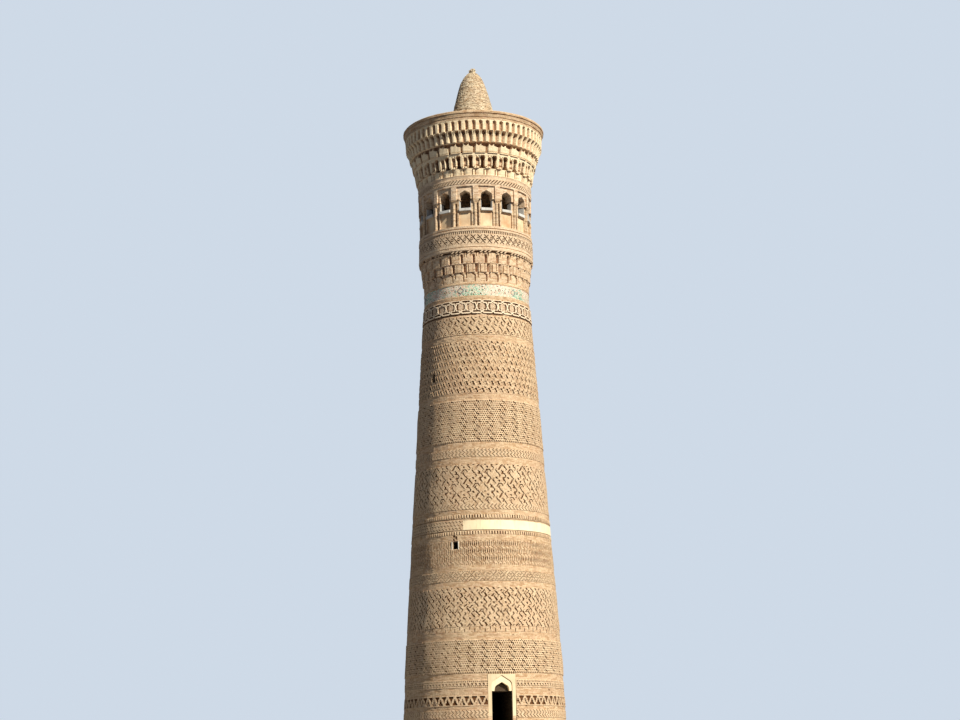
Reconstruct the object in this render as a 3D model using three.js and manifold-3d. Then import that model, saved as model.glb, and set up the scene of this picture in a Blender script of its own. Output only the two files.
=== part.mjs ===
import * as THREE from "three";
import { mergeVertices } from "three/addons/utils/BufferGeometryUtils.js";
import Module from "manifold-3d";

// A round, tapering minaret of baked brick with an arcaded lantern, as a scale model at 1:2.
// It is drawn in metres of the real tower and the whole group is scaled to model millimetres.
// The origin is on the ground at the centre of the tower, +Z is up, and the doorway faces -Y.
// Angles run from the doorway towards +X, in degrees.
const wasm = await Module();
wasm.setup();

const MODEL_MM_PER_METRE = 500;
const GAP = 0.0006;
const WELD = 1e-6;

// Shaft: a straight taper that eases a little towards the foot
const FOOT_RADIUS = 4.76;
const EASING_HEIGHT = 9.7;
const EASING_RADIUS = 4.39;
const SHAFT_TOP = 30.43;
const SHAFT_TOP_RADIUS = 3.09;
const NECK_RADIUS = 2.88;
const STAIR_WELL_INRADIUS = 1.7;
const WALL_COUNT = 8;
const WALL_GAP_DEGREES = 0.009;
const FACETS_PER_WALL = 8;

// Plinth, solid foot and entrance
const PLINTH_STEP = 0.45;
const PLINTH_TOP = 0.9;
const PLINTH_INRADII = [5.15, 4.98];
const ENTRANCE_SLAB_UNDERSIDE = 6.18;
const ENTRANCE_FLOOR = 6.3;
const DOOR_WIDTH = 1.15;
const DOOR_LINTEL = 7.95;
const DOOR_NICHE_APEX = 8.74;
const DOOR_NICHE_DEPTH = 0.24;
const PORTAL_WIDTH = 1.54;
const PORTAL_TOP = 8.9;
const PORTAL_PROJECTION = 0.07;

// Stair windows: angle, sill, width and height
const STAIR_WINDOWS = [
  { angle: -33.6, sill: 15.76, width: 0.3, height: 0.41 },
  { angle: -60.3, sill: 25.5, width: 0.23, height: 0.54 },
];

// Rings around the neck, under the lantern
const RING_SIDES = 32;
const NICHES = 32;
const TILE_TOP = 31.24;
const TILE_RADIUS = 3.09;
const LOWER_TIERS = [
  { low: TILE_TOP, high: 31.84, radii: [3.1, 3.16], notches: { count: 32, shift: 0 } },
  { low: 31.84, high: 32.34, radii: [3.2, 3.23], notches: { count: 32, shift: 0 } },
  { low: 32.34, high: 32.96, radii: [3.24, 3.29], notches: { count: 32, shift: 0.5 } },
];
const LANTERN_FOOT = 34.34;
const DRUM_RADIUS = 3.38;

// Lantern: sixteen bays
const BAYS = 16;
const BAY_PITCH = 360 / BAYS;
const LANTERN_RADIUS = 3.36;
const LANTERN_INNER_RADIUS = 2.76;
const LANTERN_FLOOR = 34.54;
const WINDOW_WIDTH = 0.645;
const WINDOW_SPRING = 36.35;
const WINDOW_APEX = 36.76;
const CURB_TOP = 34.57;
const PANEL_RADIUS = 3.28;
const SILL_UNDERSIDE = 35.5;
const SILL_TOP = 35.69;
const SILL_RADIUS = 3.43;
const HATCH = { x: 0.45, front: 0.4, back: 1.6 };
const COLONNETTE_RADIUS = 0.055;
const COLONNETTE_GROOVE = { width: 0.26, depth: 0.11 };
const CAPITAL = { low: 36.0, high: 36.26, width: 0.3, projection: 0.04 };
const SPANDREL = { top: 37.01, width: 1.16, depth: 0.05 };
const ARCADE_TOP = 37.14;
const FRIEZE_TOP = 37.66;

// Vault and cornice above the lantern
const VAULT_RADIUS = 2.95;
const VAULT_SPAN = 2.7;
const VAULT_RISE = 0.8;
const CORNICE_TIERS = [
  { low: FRIEZE_TOP, high: 37.99, radii: [3.38, 3.42], slots: { width: 0.1, depth: 0.1 } },
  {
    low: 37.99,
    high: 38.83,
    radii: [3.46, 3.6],
    niches: { shift: 0.5, width: 0.24, depth: 0.24, spring: 0.52, head: 0.74 },
  },
  {
    low: 38.83,
    high: 39.55,
    radii: [3.66, 3.84],
    niches: { shift: 0, width: 0.22, depth: 0.2, spring: 0.4, head: 0.62 },
  },
  { low: 39.55, high: 40.2, radii: [3.9, 4.06], notches: { count: 64, shift: 0.5 } },
  { low: 40.2, high: 40.82, radii: [4.09, 4.12], notches: { count: 64, shift: 0 } },
];
const RING_TIERS = 2;
const NOTCH = { width: 0.2, depth: 0.26, share: 0.86 };
const RIM_SIDES = 48;
const RIM_TOP = 41.23;
const RIM_RADII = [4.13, 4.24];
const ROOF_TOP = 41.33;
const ROOF_RADIUS = 4.12;

// Brick cap on the roof: outline from its foot to its flat top, as radius and height
const CAP_OUTLINE = [
  [1.36, ROOF_TOP],
  [1.3, 42.3],
  [1.15, 43.13],
  [0.93, 43.9],
  [0.66, 44.68],
  [0.31, 45.3],
];
const CAP_SIDES = 20;
const STUB_TOP = 45.6;
const STUB_RADIUS = 0.22;
const STUB_SIDES = 12;

const brick = new THREE.MeshStandardMaterial({ color: 0xd2b384, roughness: 0.92, metalness: 0 });
const patternedBrick = new THREE.MeshStandardMaterial({ color: 0xc9a673, roughness: 0.95, metalness: 0 });
const glazedTile = new THREE.MeshStandardMaterial({ color: 0x9fb9a6, roughness: 0.35, metalness: 0 });
const plaster = new THREE.MeshStandardMaterial({ color: 0xd8d3c6, roughness: 0.9, metalness: 0 });
const roofPaving = new THREE.MeshStandardMaterial({ color: 0xb79f7a, roughness: 0.95, metalness: 0 });

const radians = THREE.MathUtils.degToRad;
const degrees = THREE.MathUtils.radToDeg;

function polar(radius, angle, height) {
  return [radius * Math.sin(radians(angle)), -radius * Math.cos(radians(angle)), height];
}

// A closed three.js geometry as a solid that can be joined and cut
function solidOf(geometry) {
  geometry.deleteAttribute("normal");
  geometry.deleteAttribute("uv");
  const welded = mergeVertices(geometry, WELD);
  const corners = welded.index.array;
  const triangles = [];
  for (let i = 0; i < corners.length; i += 3) {
    const [a, b, c] = corners.slice(i, i + 3);
    if (a !== b && b !== c && c !== a) triangles.push(a, b, c);
  }
  const vertices = welded.attributes.position.array;
  const mesh = new wasm.Mesh({ numProp: 3, vertProperties: vertices, triVerts: new Uint32Array(triangles) });
  return new wasm.Manifold(mesh);
}

function geometryOf(solid) {
  const mesh = solid.getMesh();
  const geometry = new THREE.BufferGeometry();
  geometry.setAttribute("position", new THREE.BufferAttribute(mesh.vertProperties, 3));
  geometry.setIndex(new THREE.BufferAttribute(mesh.triVerts, 1));
  geometry.computeVertexNormals();
  return geometry;
}

// A profile of [radius, height] points, turned about the tower's axis
function turned(profile, sides) {
  const points = profile.map(([radius, height]) => new THREE.Vector2(radius, height));
  return solidOf(new THREE.LatheGeometry(points, sides).rotateX(Math.PI / 2));
}

// A ring whose outer face leans from one radius at its foot to another at its head
function ring(inner, radii, low, high, sides) {
  const profile = [[inner, low], [radii[0], low], [radii[1], high], [inner, high], [inner, low]];
  return turned(profile, sides);
}

function disc(radii, low, high, sides) {
  return turned([[0, low], [radii[0], low], [radii[1], high], [0, high]], sides);
}

// Stacked convex outlines with the same number of corners, joined by straight sides
function loft(outlines) {
  const corners = outlines[0].length;
  const positions = outlines.flat(2);
  const triangles = [];
  outlines.slice(1).forEach((_, level) => {
    for (let i = 0; i < corners; i++) {
      const [a, b] = [level * corners + i, level * corners + ((i + 1) % corners)];
      triangles.push(a, b, b + corners, a, b + corners, a + corners);
    }
  });
  const top = (outlines.length - 1) * corners;
  for (let i = 1; i < corners - 1; i++) triangles.push(0, i + 1, i, top, top + i, top + i + 1);
  const geometry = new THREE.BufferGeometry();
  geometry.setAttribute("position", new THREE.Float32BufferAttribute(positions, 3));
  geometry.setIndex(triangles);
  return solidOf(geometry);
}

function box(low, high) {
  const size = high.map((value, i) => value - low[i]);
  const middle = high.map((value, i) => (value + low[i]) / 2);
  return solidOf(new THREE.BoxGeometry(...size).translate(...middle));
}

// An upright outline, drawn across and up, pushed outwards along a radius of the tower
function radialPrism(outline, angle, from, to) {
  const shape = new THREE.Shape(outline.map(([across, up]) => new THREE.Vector2(across, up)));
  const geometry = new THREE.ExtrudeGeometry(shape, { depth: to - from, bevelEnabled: false });
  const outward = new THREE.Vector3(...polar(1, angle, 0));
  const upward = new THREE.Vector3(0, 0, 1);
  const across = new THREE.Vector3().crossVectors(upward, outward);
  const placing = new THREE.Matrix4().makeBasis(across, upward, outward);
  placing.setPosition(outward.clone().multiplyScalar(from));
  return solidOf(geometry.applyMatrix4(placing));
}

function rectangle(width, low, high) {
  return [[-width / 2, low], [width / 2, low], [width / 2, high], [-width / 2, high]];
}

// A rectangle with a gabled head
function gabled(width, low, spring, apex) {
  return [[-width / 2, low], [width / 2, low], [width / 2, spring], [0, apex], [-width / 2, spring]];
}

// An opening with a two-centred pointed arch, each side of it in a few straight steps
function pointedArch(width, low, spring, apex, steps) {
  const half = width / 2;
  const rise = apex - spring;
  const radius = (half * half + rise * rise) / (2 * half);
  const sweep = Math.atan2(rise, radius - half);
  const right = [];
  for (let i = 0; i <= steps; i++) {
    const turn = (sweep * i) / steps;
    right.push([half - radius + radius * Math.cos(turn), spring + radius * Math.sin(turn)]);
  }
  const left = right.slice(0, -1).reverse().map(([across, up]) => [-across, up]);
  return [[-half, low], [half, low], ...right, ...left];
}

function cutAll(solid, cutters) {
  return cutters.reduce((rest, cutter) => rest.subtract(cutter), solid);
}

function shaftRadius(height) {
  if (height < EASING_HEIGHT) {
    return THREE.MathUtils.mapLinear(height, 0, EASING_HEIGHT, FOOT_RADIUS, EASING_RADIUS);
  }
  return THREE.MathUtils.mapLinear(height, EASING_HEIGHT, SHAFT_TOP, EASING_RADIUS, SHAFT_TOP_RADIUS);
}

const tower = new THREE.Group();
tower.scale.setScalar(MODEL_MM_PER_METRE);

function place(name, geometry, material, turn = 0) {
  const mesh = new THREE.Mesh(geometry, material);
  mesh.name = name;
  mesh.rotation.z = radians(turn);
  tower.add(mesh);
}

function addSolid(name, solid, material) {
  place(name, geometryOf(solid), material);
}

// Low octagonal plinth in two steps
function octagon(inradius, height) {
  const corner = inradius / Math.cos(Math.PI / WALL_COUNT);
  return Array.from({ length: 8 }, (_, i) => polar(corner, 22.5 + 45 * i, height));
}

function plinth() {
  const [lower, upper] = PLINTH_INRADII;
  return loft([
    octagon(lower, 0),
    octagon(lower, PLINTH_STEP),
    octagon(upper, PLINTH_STEP),
    octagon(upper, PLINTH_TOP),
  ]);
}

// Solid masonry below the entrance floor
function baseDrum() {
  const radii = [shaftRadius(PLINTH_TOP), shaftRadius(ENTRANCE_SLAB_UNDERSIDE)];
  return disc(radii, PLINTH_TOP, ENTRANCE_SLAB_UNDERSIDE, WALL_COUNT * FACETS_PER_WALL);
}

// The entrance floor fills the stair well and runs out through the doorway as its threshold
function entranceFloor() {
  const inradius = STAIR_WELL_INRADIUS - GAP;
  const well = loft([octagon(inradius, ENTRANCE_SLAB_UNDERSIDE), octagon(inradius, ENTRANCE_FLOOR)]);
  const half = DOOR_WIDTH / 2 - GAP;
  const front = -shaftRadius(ENTRANCE_FLOOR) + 0.03;
  const threshold = box([-half, front, ENTRANCE_SLAB_UNDERSIDE], [half, -1, ENTRANCE_FLOOR]);
  return well.add(threshold);
}

// One eighth of the shaft's wall, flat towards the stair well and round outside
function wallOutline(angle, radius, height) {
  const half = 180 / WALL_COUNT - WALL_GAP_DEGREES;
  const innerCorner = STAIR_WELL_INRADIUS / Math.cos(radians(half));
  const outline = [];
  for (let i = 0; i <= FACETS_PER_WALL; i++) {
    outline.push(polar(radius, angle - half + (2 * half * i) / FACETS_PER_WALL, height));
  }
  outline.push(polar(innerCorner, angle + half, height), polar(innerCorner, angle - half, height));
  return outline;
}

function shaftWall(angle, low) {
  const levels = [low, EASING_HEIGHT, SHAFT_TOP].map((height) => [shaftRadius(height), height]);
  levels.push([NECK_RADIUS, SHAFT_TOP], [NECK_RADIUS, LANTERN_FOOT]);
  return loft(levels.map(([radius, height]) => wallOutline(angle, radius, height)));
}

function stairWindowCutter({ angle, sill, width, height }) {
  return radialPrism(rectangle(width, sill, sill + height), angle, 1, FOOT_RADIUS);
}

function addShaft() {
  const sides = ["front", "front_right", "right", "back_right", "back", "back_left", "left", "front_left"];
  sides.forEach((side, i) => {
    const wall = shaftWall(i * 45, ENTRANCE_SLAB_UNDERSIDE);
    if (side === "front") addDoorwayWalls(wall);
    else if (side === "front_left") {
      addSolid("shaft_front_left", cutAll(wall, STAIR_WINDOWS.map(stairWindowCutter)), brick);
    } else addSolid(`shaft_${side}`, wall, brick);
  });
}

// Outline of the doorway's arched head, which is a shallow niche over a flat lintel
function doorArch() {
  return pointedArch(DOOR_WIDTH, 0, DOOR_LINTEL, DOOR_NICHE_APEX, 6);
}

// The front wall is split beside and over the doorway
function addDoorwayWalls(wall) {
  const far = FOOT_RADIUS + 1;
  const half = DOOR_WIDTH / 2;
  const lowHalf = wall.intersect(box([-far, -far, 0], [far, 0, DOOR_LINTEL]));
  const above = wall.intersect(box([-far, -far, DOOR_LINTEL], [far, 0, LANTERN_FOOT + 1]));
  const nicheBack = shaftRadius(DOOR_LINTEL) - DOOR_NICHE_DEPTH;
  const niche = radialPrism(doorArch(), 0, nicheBack, far);
  addSolid("door_left_wall", lowHalf.intersect(box([-far, -far, 0], [-half, 0, far * 2])), brick);
  addSolid("door_right_wall", lowHalf.intersect(box([half, -far, 0], [far, 0, far * 2])), brick);
  addSolid("over_door_wall", above.subtract(niche), brick);
}

// Flat plastered frame around the doorway, seated on the round wall
function doorFrame() {
  const front = shaftRadius(ENTRANCE_FLOOR) + PORTAL_PROJECTION;
  const back = shaftRadius(PORTAL_TOP) - 0.2;
  const slab = radialPrism(rectangle(PORTAL_WIDTH, ENTRANCE_FLOOR, PORTAL_TOP), 0, back, front);
  const wallFace = [ENTRANCE_SLAB_UNDERSIDE, EASING_HEIGHT].map((height) => shaftRadius(height) + GAP);
  const wall = disc(wallFace, ENTRANCE_SLAB_UNDERSIDE, EASING_HEIGHT, WALL_COUNT * FACETS_PER_WALL);
  return slab.subtract(radialPrism(doorArch(), 0, 1, front + 1)).subtract(wall);
}

// Inner radius of a ring that clears a round core with the same or more facets
function clearOf(core, sides) {
  return (core + GAP) / Math.cos(Math.PI / sides);
}

function around(count, shift, make) {
  return Array.from({ length: count }, (_, i) => make(((i + shift) * 360) / count));
}

// Gabled niches, open at the tier's foot
function nicheCutters({ low, radii }, { shift, width, depth, spring, head }) {
  const outline = gabled(width, low - 1, low + spring, low + head);
  return around(NICHES, shift, (angle) => radialPrism(outline, angle, radii[0] - depth, radii[1] + 1));
}

// Upright slots through a tier's whole height
function slotCutters({ radii, low, high }, { width, depth }) {
  const outline = rectangle(width, low - 1, high + 1);
  return around(NICHES, 0, (angle) => radialPrism(outline, angle, radii[0] - depth, radii[1] + 1));
}

// Small niches as pyramids that taper from the tier's foot to a point on its face
function notchCutters({ low, high, radii }, { count, shift }) {
  const height = 2 * NOTCH.share * (high - low);
  const face = (radii[0] + radii[1]) / 2;
  return around(count, shift, (angle) => {
    const pyramid = new THREE.ConeGeometry(1, height, 4).scale(NOTCH.width, 1, NOTCH.depth);
    pyramid.rotateX(Math.PI / 2).translate(0, -face, low).rotateZ(radians(angle));
    return solidOf(pyramid);
  });
}

function tierCutters(tier) {
  if (tier.slots) return slotCutters(tier, tier.slots);
  if (tier.niches) return nicheCutters(tier, tier.niches);
  return notchCutters(tier, tier.notches);
}

function addNeckRings() {
  const inner = clearOf(NECK_RADIUS, RING_SIDES);
  const tileRadii = [TILE_RADIUS, TILE_RADIUS];
  addSolid("tile_band", ring(inner, tileRadii, SHAFT_TOP, TILE_TOP, RING_SIDES), glazedTile);
  LOWER_TIERS.forEach((tier, i) => {
    const body = ring(inner, tier.radii, tier.low, tier.high, RING_SIDES);
    addSolid(`lower_muqarnas_${i + 1}`, cutAll(body, tierCutters(tier)), patternedBrick);
  });
  const drumFoot = LOWER_TIERS.at(-1).high;
  const drum = ring(inner, [DRUM_RADIUS, DRUM_RADIUS], drumFoot, LANTERN_FOOT, RING_SIDES);
  addSolid("lantern_drum", drum, patternedBrick);
}

// Lantern floor with a hatch over the stair well
function lanternFloor() {
  const radius = LANTERN_INNER_RADIUS - GAP;
  const slab = disc([radius, radius], LANTERN_FOOT, LANTERN_FLOOR, RING_SIDES);
  return slab.subtract(box([-HATCH.x, HATCH.front, 0], [HATCH.x, HATCH.back, 40]));
}

// Curb ring that carries a recessed panel and a projecting sill in each bay
function lanternParapet() {
  const outer = [LANTERN_RADIUS, LANTERN_RADIUS];
  let parapet = ring(LANTERN_INNER_RADIUS, outer, LANTERN_FOOT, CURB_TOP, RING_SIDES);
  const width = WINDOW_WIDTH - 2 * GAP;
  for (let bay = 0; bay < BAYS; bay++) {
    const angle = bay * BAY_PITCH;
    const panel = rectangle(width, CURB_TOP - 0.05, SILL_UNDERSIDE);
    const sill = rectangle(width, SILL_UNDERSIDE, SILL_TOP);
    parapet = parapet.add(radialPrism(panel, angle, LANTERN_INNER_RADIUS, PANEL_RADIUS));
    parapet = parapet.add(radialPrism(sill, angle, LANTERN_INNER_RADIUS, SILL_RADIUS));
  }
  return parapet;
}

// Angle between a pier's middle and its jamb, which is parallel to the window's own axis
function jambAngle(radius) {
  return BAY_PITCH / 2 - degrees(Math.asin(WINDOW_WIDTH / 2 / radius));
}

function pierOutline(height) {
  const outer = jambAngle(LANTERN_RADIUS);
  const inner = jambAngle(LANTERN_INNER_RADIUS);
  return [
    polar(LANTERN_RADIUS, -outer, height),
    polar(LANTERN_RADIUS, outer, height),
    polar(LANTERN_INNER_RADIUS, inner, height),
    polar(LANTERN_INNER_RADIUS, -inner, height),
  ];
}

function colonnette(low, high) {
  const column = new THREE.CylinderGeometry(COLONNETTE_RADIUS, COLONNETTE_RADIUS, high - low, 6);
  return solidOf(column.rotateX(Math.PI / 2).translate(0, -LANTERN_RADIUS + 0.06, (low + high) / 2));
}

// A pier between two windows, with an engaged colonnette in a groove on its face
function pier() {
  const low = CURB_TOP + GAP;
  const high = WINDOW_SPRING - GAP;
  const grooveBack = LANTERN_RADIUS - COLONNETTE_GROOVE.depth;
  const groove = rectangle(COLONNETTE_GROOVE.width, low - 1, CAPITAL.low);
  const capital = rectangle(CAPITAL.width, CAPITAL.low, CAPITAL.high);
  return loft([pierOutline(low), pierOutline(high)])
    .subtract(radialPrism(groove, 0, grooveBack, LANTERN_RADIUS + 1))
    .add(colonnette(low, CAPITAL.low + 0.02))
    .add(radialPrism(capital, 0, grooveBack, LANTERN_RADIUS + CAPITAL.projection));
}

function addPiers() {
  const geometry = geometryOf(pier());
  for (let bay = 0; bay < BAYS; bay++) {
    const number = String(bay + 1).padStart(2, "0");
    place(`lantern_pier_${number}`, geometry, patternedBrick, (bay + 0.5) * BAY_PITCH);
  }
}

// Ring of pointed arches over the windows, each in a sunk rectangular panel
function arcadeHead() {
  const outer = [LANTERN_RADIUS, LANTERN_RADIUS];
  const inner = LANTERN_INNER_RADIUS;
  const arch = pointedArch(WINDOW_WIDTH, WINDOW_SPRING - 0.1, WINDOW_SPRING, WINDOW_APEX, 3);
  const panel = rectangle(SPANDREL.width, WINDOW_SPRING - 0.1, SPANDREL.top);
  const cutters = [];
  for (let bay = 0; bay < BAYS; bay++) {
    const angle = bay * BAY_PITCH;
    cutters.push(radialPrism(arch, angle, inner - 0.2, LANTERN_RADIUS + 0.2));
    cutters.push(radialPrism(panel, angle, LANTERN_RADIUS - SPANDREL.depth, LANTERN_RADIUS + 0.2));
  }
  return cutAll(ring(inner, outer, WINDOW_SPRING, ARCADE_TOP, RING_SIDES), cutters);
}

// Masonry over the lantern, with a shallow dome on its underside
function vault() {
  const domeRadius = (VAULT_SPAN ** 2 + VAULT_RISE ** 2) / (2 * VAULT_RISE);
  const centre = ARCADE_TOP + VAULT_RISE - domeRadius;
  const steps = 6;
  const dome = [];
  for (let i = 0; i <= steps; i++) {
    const radius = (VAULT_SPAN * i) / steps;
    dome.push([radius, centre + Math.sqrt(domeRadius ** 2 - radius ** 2)]);
  }
  const top = CORNICE_TIERS[RING_TIERS - 1].high;
  return turned([...dome, [VAULT_RADIUS, ARCADE_TOP], [VAULT_RADIUS, top], [0, top]], RING_SIDES);
}

function addCrown() {
  const friezeInner = clearOf(VAULT_RADIUS, RING_SIDES);
  const friezeRadii = [LANTERN_RADIUS, LANTERN_RADIUS];
  const frieze = ring(friezeInner, friezeRadii, ARCADE_TOP, FRIEZE_TOP, RING_SIDES);
  addSolid("lantern_frieze", frieze, patternedBrick);
  addSolid("lantern_vault", vault(), brick);
  CORNICE_TIERS.forEach((tier, i) => {
    const { low, high, radii } = tier;
    const body =
      i < RING_TIERS ? ring(friezeInner, radii, low, high, RING_SIDES) : disc(radii, low, high, RING_SIDES);
    addSolid(`cornice_tier_${i + 1}`, cutAll(body, tierCutters(tier)), patternedBrick);
  });
  const rimLow = CORNICE_TIERS.at(-1).high;
  addSolid("cornice_rim", disc(RIM_RADII, rimLow, RIM_TOP, RIM_SIDES), patternedBrick);
  addSolid("roof", disc([ROOF_RADIUS, ROOF_RADIUS], RIM_TOP, ROOF_TOP, RIM_SIDES), roofPaving);
}

// Bullet-shaped cap and the broken stub on its top
function cap() {
  const curve = new THREE.SplineCurve(CAP_OUTLINE.map(([radius, height]) => new THREE.Vector2(radius, height)));
  const side = curve.getPoints(9).map((point) => [point.x, point.y]);
  return turned([[0, CAP_OUTLINE[0][1]], ...side, [0, CAP_OUTLINE.at(-1)[1]]], CAP_SIDES);
}

function capStub() {
  const low = CAP_OUTLINE.at(-1)[1];
  const stub = disc([STUB_RADIUS, STUB_RADIUS], low, STUB_TOP, STUB_SIDES);
  return stub.subtract(box([-1, -1, low + 0.14], [-0.08, 1, STUB_TOP + 1]));
}

addSolid("plinth", plinth(), brick);
addSolid("base_drum", baseDrum(), brick);
addSolid("entrance_floor", entranceFloor(), roofPaving);
addShaft();
addSolid("door_frame", doorFrame(), plaster);
addNeckRings();
addSolid("lantern_floor", lanternFloor(), roofPaving);
addSolid("lantern_parapet", lanternParapet(), plaster);
addPiers();
addSolid("lantern_arcade_head", arcadeHead(), patternedBrick);
addCrown();
addSolid("cap", cap(), brick);
addSolid("cap_stub", capStub(), brick);

export default tower;
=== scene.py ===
"""Looks of the brick minaret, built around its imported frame.

Everything is drawn in metres of the real tower and written out at MODEL size. Angles are in degrees
from the doorway (-Y) towards +X, heights are above the ground.
"""

import math

import bpy
import numpy as np
from mathutils import Matrix, Vector


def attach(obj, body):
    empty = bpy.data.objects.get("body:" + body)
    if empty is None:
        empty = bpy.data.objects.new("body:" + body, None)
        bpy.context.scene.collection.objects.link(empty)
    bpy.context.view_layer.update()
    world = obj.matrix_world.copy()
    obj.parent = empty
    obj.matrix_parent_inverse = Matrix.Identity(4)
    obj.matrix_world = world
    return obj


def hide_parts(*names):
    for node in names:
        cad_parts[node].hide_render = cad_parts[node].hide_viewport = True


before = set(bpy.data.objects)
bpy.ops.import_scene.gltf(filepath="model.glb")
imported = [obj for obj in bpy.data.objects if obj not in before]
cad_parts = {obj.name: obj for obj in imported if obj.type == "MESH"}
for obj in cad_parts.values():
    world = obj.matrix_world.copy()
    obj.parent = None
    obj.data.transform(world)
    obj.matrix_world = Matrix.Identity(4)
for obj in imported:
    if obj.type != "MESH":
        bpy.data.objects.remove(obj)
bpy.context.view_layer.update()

MODEL = 0.5
SEED = 7

# Shaft wall of the frame, which every belt is laid on
FOOT_RADIUS = 4.76
EASING_HEIGHT = 9.7
EASING_RADIUS = 4.39
SHAFT_TOP = 30.43
SHAFT_TOP_RADIUS = 3.09
PLINTH_TOP = 0.9

# How far a brick's face stands out from the wall: sunk, shallow, flush and proud
SUNK, SHALLOW, FLUSH, PROUD = 0.002, 0.024, 0.048, 0.062
LEVELS = np.array([SUNK, SHALLOW, FLUSH, PROUD])
HOLE = -1
INTO_WALL = -0.02
COURSE = 0.07

DOOR_HALF_ANGLE = 10.3
DOOR_TOP = 8.90
DOOR_FOOT = 6.3
# Windows of the stair, with the widths of the white strips at their left and right
STAIR_WINDOWS = [
    {"angle": -33.6, "sill": 15.76, "width": 0.35, "height": 0.42, "strips": (0.03, 0.04)},
    {"angle": -60.3, "sill": 25.50, "width": 0.23, "height": 0.54, "strips": (0.0, 0.0)},
]
# Bricks knocked out over the lower window: angles and heights
DAMAGE = [(-35.6, -33.8, 16.2, 16.34), (-33.7, -31.9, 16.27, 16.48), (-35.6, -33.8, 16.4, 16.54)]

# Lantern
BAYS = 16
LANTERN_FOOT = 34.34
CURB_TOP = 34.57
SILL_LOW, SILL_TOP = 35.50, 35.69
SILL_FOOT = SILL_LOW + 0.04
PIER_TOP = 36.22
SPRING, APEX = 36.42, 36.77
SPANDREL_TOP = 37.01
ARCADE_TOP = 37.14
FRIEZE_TOP = 37.66
INNER_RADIUS = 2.76
FACE_RADIUS = 3.365
SPANDREL_RADIUS = 3.28
JAMB_RADIUS = 3.23
PANEL_RADIUS = 3.13
PANEL_HALF = 0.38
GROOVE_RADIUS = 3.11
GROOVE_LEFT, GROOVE_RIGHT = -0.12, 0.165
COLUMN_RADIUS = 3.24
COLUMN_SHIFT = -0.04
WINDOW_HALF = 0.34

RIM_LOW = 40.82
ROOF_TOP = 41.33
CAP_OUTLINE = [(1.36, ROOF_TOP), (1.29, 42.3), (1.14, 43.13), (0.94, 43.9), (0.72, 44.6), (0.53, 44.98),
               (0.3, 45.24)]
STUB_TOP = 45.54

# Widest turn of one face of a curved strip, in degrees
STRIP_STEP = 2.8

# Materials by name
looks = {}


def polar(radius, degrees, height):
    angle = np.radians(degrees)
    parts = np.broadcast_arrays(radius * np.sin(angle), -radius * np.cos(angle), height)
    return np.stack(parts, axis=-1).astype(float)


def shaft_radius(height):
    heights = [0, EASING_HEIGHT, SHAFT_TOP]
    return np.interp(height, heights, [FOOT_RADIUS, EASING_RADIUS, SHAFT_TOP_RADIUS])


def worn(points):
    """Moves points in and out a few millimetres, as hand-laid brick does."""
    draw = np.random.default_rng(SEED)
    waves = draw.normal(size=(6, 3)) * np.array([[2.1], [3.3], [5.2], [8.0], [12.5], [19.0]])
    phases = draw.uniform(0, 2 * math.pi, 6)
    strengths = np.array([7, 6, 4, 3, 2.5, 2]) / 1000
    push = (np.sin(points @ waves.T + phases) * strengths).sum(axis=-1)
    across = np.linalg.norm(points[..., :2], axis=-1)
    outward = points[..., :2] / np.maximum(across, 0.2)[..., None]
    moved = points.copy()
    moved[..., :2] += outward * push[..., None]
    return moved


class Surface:
    """Four-sided faces with brick coordinates, and a depth from 0 (deep) to 1 (proud), which the brick
    materials turn into painted shade in deep faces and painted highlights on proud ones.
    """

    def __init__(self):
        self.corners, self.courses, self.depths = [], [], []

    def add(self, corners, courses=None, depths=1.0):
        corners = np.asarray(corners, float).reshape(-1, 4, 3)
        if courses is None:
            courses = np.zeros((len(corners), 4, 2))
        self.corners.append(corners)
        self.courses.append(np.asarray(courses, float).reshape(-1, 4, 2))
        self.depths.append(np.broadcast_to(np.asarray(depths, float), (len(corners), 4)))

    def add_around(self, count, shift, make):
        for bay in range(count):
            make(self, 360 * (bay + shift) / count)

    def piece(self, name, slot, look, weather=True):
        points = np.concatenate(self.corners).reshape(-1, 3)
        if weather:
            points = worn(points)
        mesh = bpy.data.meshes.new(name)
        mesh.vertices.add(len(points))
        mesh.vertices.foreach_set("co", (points * MODEL).astype(np.float32).ravel())
        mesh.loops.add(len(points))
        mesh.loops.foreach_set("vertex_index", np.arange(len(points), dtype=np.int32))
        mesh.polygons.add(len(points) // 4)
        mesh.polygons.foreach_set("loop_start", np.arange(0, len(points), 4, dtype=np.int32))
        layer = mesh.uv_layers.new(name="courses")
        layer.uv.foreach_set("vector", np.concatenate(self.courses).astype(np.float32).ravel())
        depth = mesh.attributes.new("depth", "FLOAT", "POINT")
        depth.data.foreach_set("value", np.concatenate(self.depths).astype(np.float32).ravel())
        mesh.update(calc_edges=True)
        mesh.validate()
        mesh.materials.append(looks[look])
        piece = bpy.data.objects.new(name, mesh)
        bpy.context.scene.collection.objects.link(piece)
        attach(piece, "root")
        return piece


def quad(a, b, c, d):
    return np.stack(np.broadcast_arrays(a, b, c, d), axis=-2)


def runs(keys, longest):
    """Row, first column and end column of each stretch of equal keys, at most `longest` cells."""
    columns = keys.shape[1]
    index = np.arange(columns)
    change = np.ones(keys.shape, bool)
    change[:, 1:] = keys[:, 1:] != keys[:, :-1]
    last = np.maximum.accumulate(np.where(change, index, 0), axis=1)
    row, first = np.nonzero((index - last) % longest == 0)
    end = np.append(first[1:], 0)
    end[end == 0] = columns
    return row, first, end


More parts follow.
